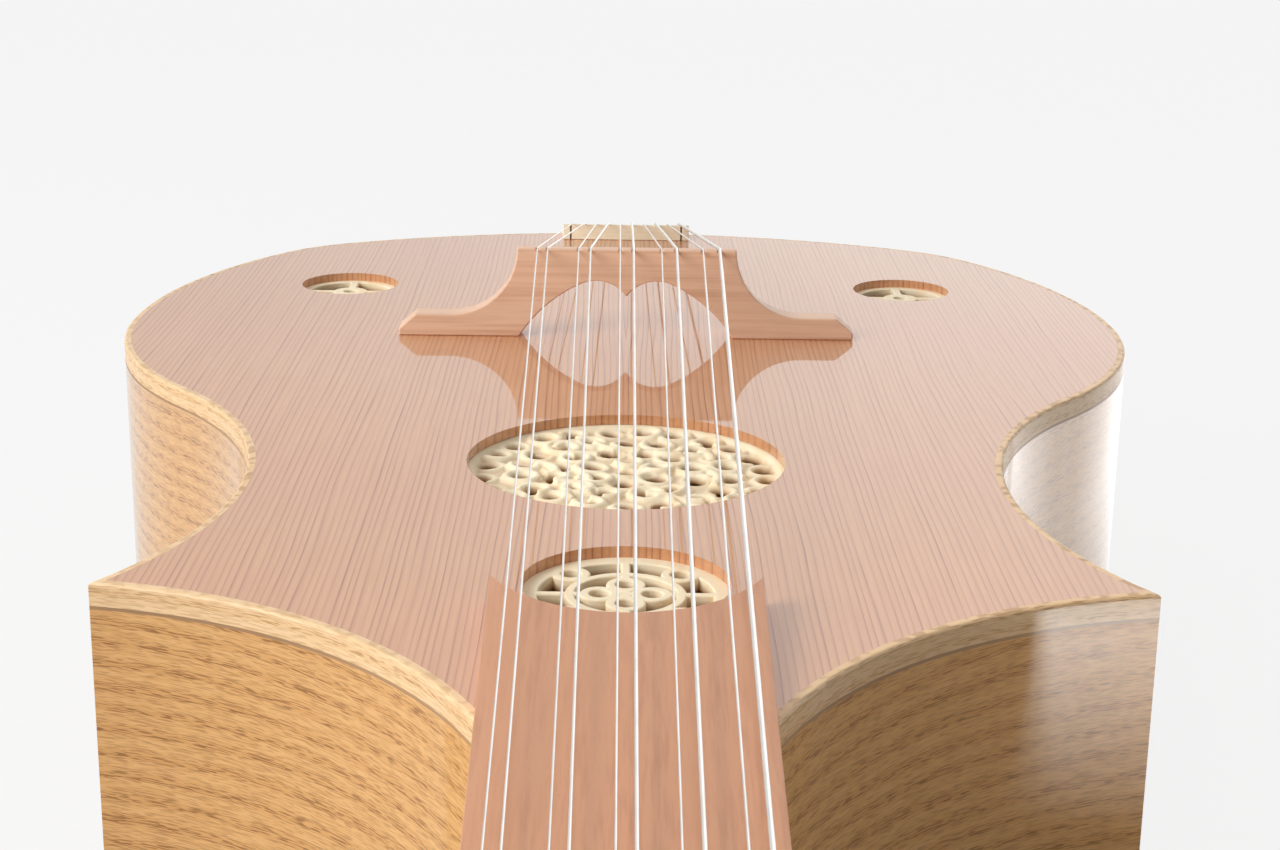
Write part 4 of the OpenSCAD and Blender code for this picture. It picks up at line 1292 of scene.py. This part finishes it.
@dataclass
class Studio:
    """Camera at the photograph's viewpoint, pale floor that shows painted reflections, world and lamp."""

    focal_px: float = 2196.46
    image_w: float = 1280.0
    sensor: float = 36.0
    near_clip: float = 10 * MM
    eye: Place = (-2.23 * MM, -690.02 * MM, 266.65 * MM)
    pitch: float = 0.284904
    roll: float = -0.014840
    yaw: float = -0.010470
    dim_way: Place = (0.35, -0.94, 0.0)
    right_way: Place = (1.0, 0.0, 0.0)
    out_way: Place = (0.865, -0.5, 0.0)
    front_way: Place = (-0.5, -0.865, 0.0)
    room: Span = (1.01, 0.13)
    room_spread: float = 0.9
    mirror: Span = (0.75, 1.36)
    mirror_spread: float = 0.35
    white: float = 0.905
    floor_half: float = 6.0
    floor_gap: float = 0.5 * MM
    floor_tones: Span = (0.44, 0.48)
    paper: float = 1.0
    paper_share: float = 0.86
    # Painted reflections: the floor's glow as mirrors see it, darker in front on the right, with a bright
    # patch for a window and a fainter glow for a wall.
    mirror_floor: float = 0.95
    painted_dim_share: float = 0.9
    painted_dim_edges: tuple[Span, Span] = ((0.1, 0.2), (0.0, 0.06))
    painted_window: float = 23.0
    painted_window_out: tuple[Span, Span] = ((0.29, 0.42), (0.62, 0.45))
    painted_window_front: tuple[Span, Span] = ((0.157, 0.172), (0.38, 0.25))
    painted_wall_strength: float = 1.6
    painted_wall_edges: tuple[Span, Span] = ((0.15, 0.28), (0.0, -0.1))
    lamp_at: Place = (-1.1, -0.78, 0.8)
    lamp_target: Place = (0.0, -0.15, 0.05)
    lamp_size: float = 0.9
    lamp_power: float = 18.5

    def place_camera(self) -> None:
        """Adds the camera."""
        data = bpy.data.cameras.new("photo_camera")
        data.sensor_width = self.sensor
        data.lens = self.focal_px * self.sensor / self.image_w
        data.clip_start = self.near_clip
        camera = bpy.data.objects.new("photo_camera", data)
        level = Matrix.Rotation(math.pi / 2 - self.pitch, 4, "X")
        aimed = Matrix.Rotation(self.yaw, 4, "Z") @ level @ Matrix.Rotation(-self.roll, 4, "Z")
        camera.matrix_world = Matrix.Translation(self.eye) @ aimed
        bpy.context.scene.collection.objects.link(camera)
        bpy.context.scene.camera = camera

    def light_world(self) -> None:
        """Makes a pale world, dimmer in front, with plain backdrops for the camera and for reflections."""
        world = bpy.data.worlds.new("studio")
        bpy.context.scene.world = world
        world.use_nodes = True
        world.node_tree.nodes.clear()
        sheet = NodeSheet(world.node_tree, "Generated")

        def backdrop(way: Place, ends: Span, spread: float) -> Socket:
            """Adds a background that changes smoothly along a direction.

            Args:
                way: The direction.
                ends: Strength behind and ahead.
                spread: Share of the way to each side in which it changes.

            Returns:
                The background.
            """
            level = sheet.band(sheet.along(way), -spread, spread, ends, "SMOOTHSTEP")
            return sheet.glow("ShaderNodeBackground", level)

        camera, mirrored = sheet.rays()
        lit = sheet.choose(mirrored, backdrop(self.dim_way, self.room, self.room_spread),
                           backdrop(self.right_way, self.mirror, self.mirror_spread))
        final = sheet.choose(camera, lit, sheet.glow("ShaderNodeBackground", self.white))
        sheet.put(sheet.tree.nodes.new("ShaderNodeOutputWorld").inputs["Surface"], final)

    def painted_floor_reflection(self, sheet: NodeSheet) -> Socket:
        """Gives the floor's brightness in reflections, a painted reflection pattern: darker in front on the
        right, with a bright glowing patch standing for a window beyond and a glow standing for a wall to the
        right.

        Args:
            sheet: The floor's material.

        Returns:
            The brightness.
        """
        out, front, right = (sheet.along(way) for way in (self.out_way, self.front_way, self.right_way))
        # Painted reflection: the floor dims in front on the right and glows in patches that stand for a
        # window and a wall; only mirrored rays see this.
        painted_dim = sheet.math("MULTIPLY", sheet.band(out, *self.painted_dim_edges[0]),
                         sheet.band(front, *self.painted_dim_edges[1]), self.painted_dim_share * self.mirror_floor)
        sides = [sheet.band(out, *edge) for edge in self.painted_window_out]
        sides += [sheet.band(front, *edge) for edge in self.painted_window_front]
        painted_window = sheet.math("MULTIPLY", self.painted_window, *sides)
        painted_wall = sheet.math("MULTIPLY", sheet.band(right, *self.painted_wall_edges[0]),
                          sheet.band(front, *self.painted_wall_edges[1]), self.painted_wall_strength)
        return sheet.math("ADD", sheet.math("SUBTRACT", self.mirror_floor, painted_dim), painted_window, painted_wall)

    def lay_floor(self) -> None:
        """Adds the floor, which keeps a soft shadow under a nearly white surface, and glows in a painted
        pattern in reflections.
        """
        bm = bmesh.new()
        bmesh.ops.create_grid(bm, x_segments=1, y_segments=1, size=self.floor_half)
        bmesh.ops.translate(bm, verts=bm.verts, vec=(0.0, 0.0, -self.floor_gap))
        mesh = bpy.data.meshes.new("floor")
        bm.to_mesh(mesh)
        bm.free()
        sheet = FinishSheet("floor_paper")
        fibre = sheet.noise(sheet.coords, 300.0, 3.0)
        tone = sheet.curve(fibre, zip((0.3, 0.7), self.floor_tones))
        sheet.put(sheet.shader.inputs["Base Color"], tone)
        sheet.shader.inputs["Roughness"].default_value = 0.9
        camera, mirrored = sheet.rays()
        change = sheet.math("SUBTRACT", self.painted_floor_reflection(sheet), self.paper)
        level = sheet.math("ADD", self.paper, sheet.math("MULTIPLY", mirrored, change))
        share = sheet.math("MULTIPLY", sheet.math("MAXIMUM", camera, mirrored), self.paper_share)
        surface = sheet.choose(share, sheet.shader.outputs[0], sheet.glow("ShaderNodeEmission", level))
        sheet.put(sheet.tree.nodes["Material Output"].inputs["Surface"], surface)
        mesh.materials.append(sheet.material)
        floor = bpy.data.objects.new("floor", mesh)
        bpy.context.scene.collection.objects.link(floor)

    def hang_lamp(self) -> None:
        """Adds a soft box at the left, in front."""
        data = bpy.data.lights.new("window_left", "AREA")
        data.shape = "RECTANGLE"
        data.size = data.size_y = self.lamp_size
        data.energy = self.lamp_power
        lamp = bpy.data.objects.new("window_left", data)
        lamp.visible_camera = False
        lamp.location = self.lamp_at
        aim = Vector(self.lamp_target) - Vector(self.lamp_at)
        lamp.rotation_euler = aim.to_track_quat("-Z", "Y").to_euler()
        bpy.context.scene.collection.objects.link(lamp)

    def build(self) -> None:
        """Sets up the whole studio."""
        bpy.context.scene.view_settings.view_transform = "Standard"
        self.place_camera()
        self.light_world()
        self.lay_floor()
        self.hang_lamp()


def main() -> None:
    """Builds the instrument and the studio around it."""
    logging.basicConfig(level=logging.INFO, format="%(name)s: %(message)s")
    Studio().build()
    finishes = Finishes()
    for assembly in (SoundBox(), Rosettes(), NeckAndHead(), BridgeAndTail(), Tuners()):
        assembly.build(finishes)


if __name__ == "__main__":
    main()
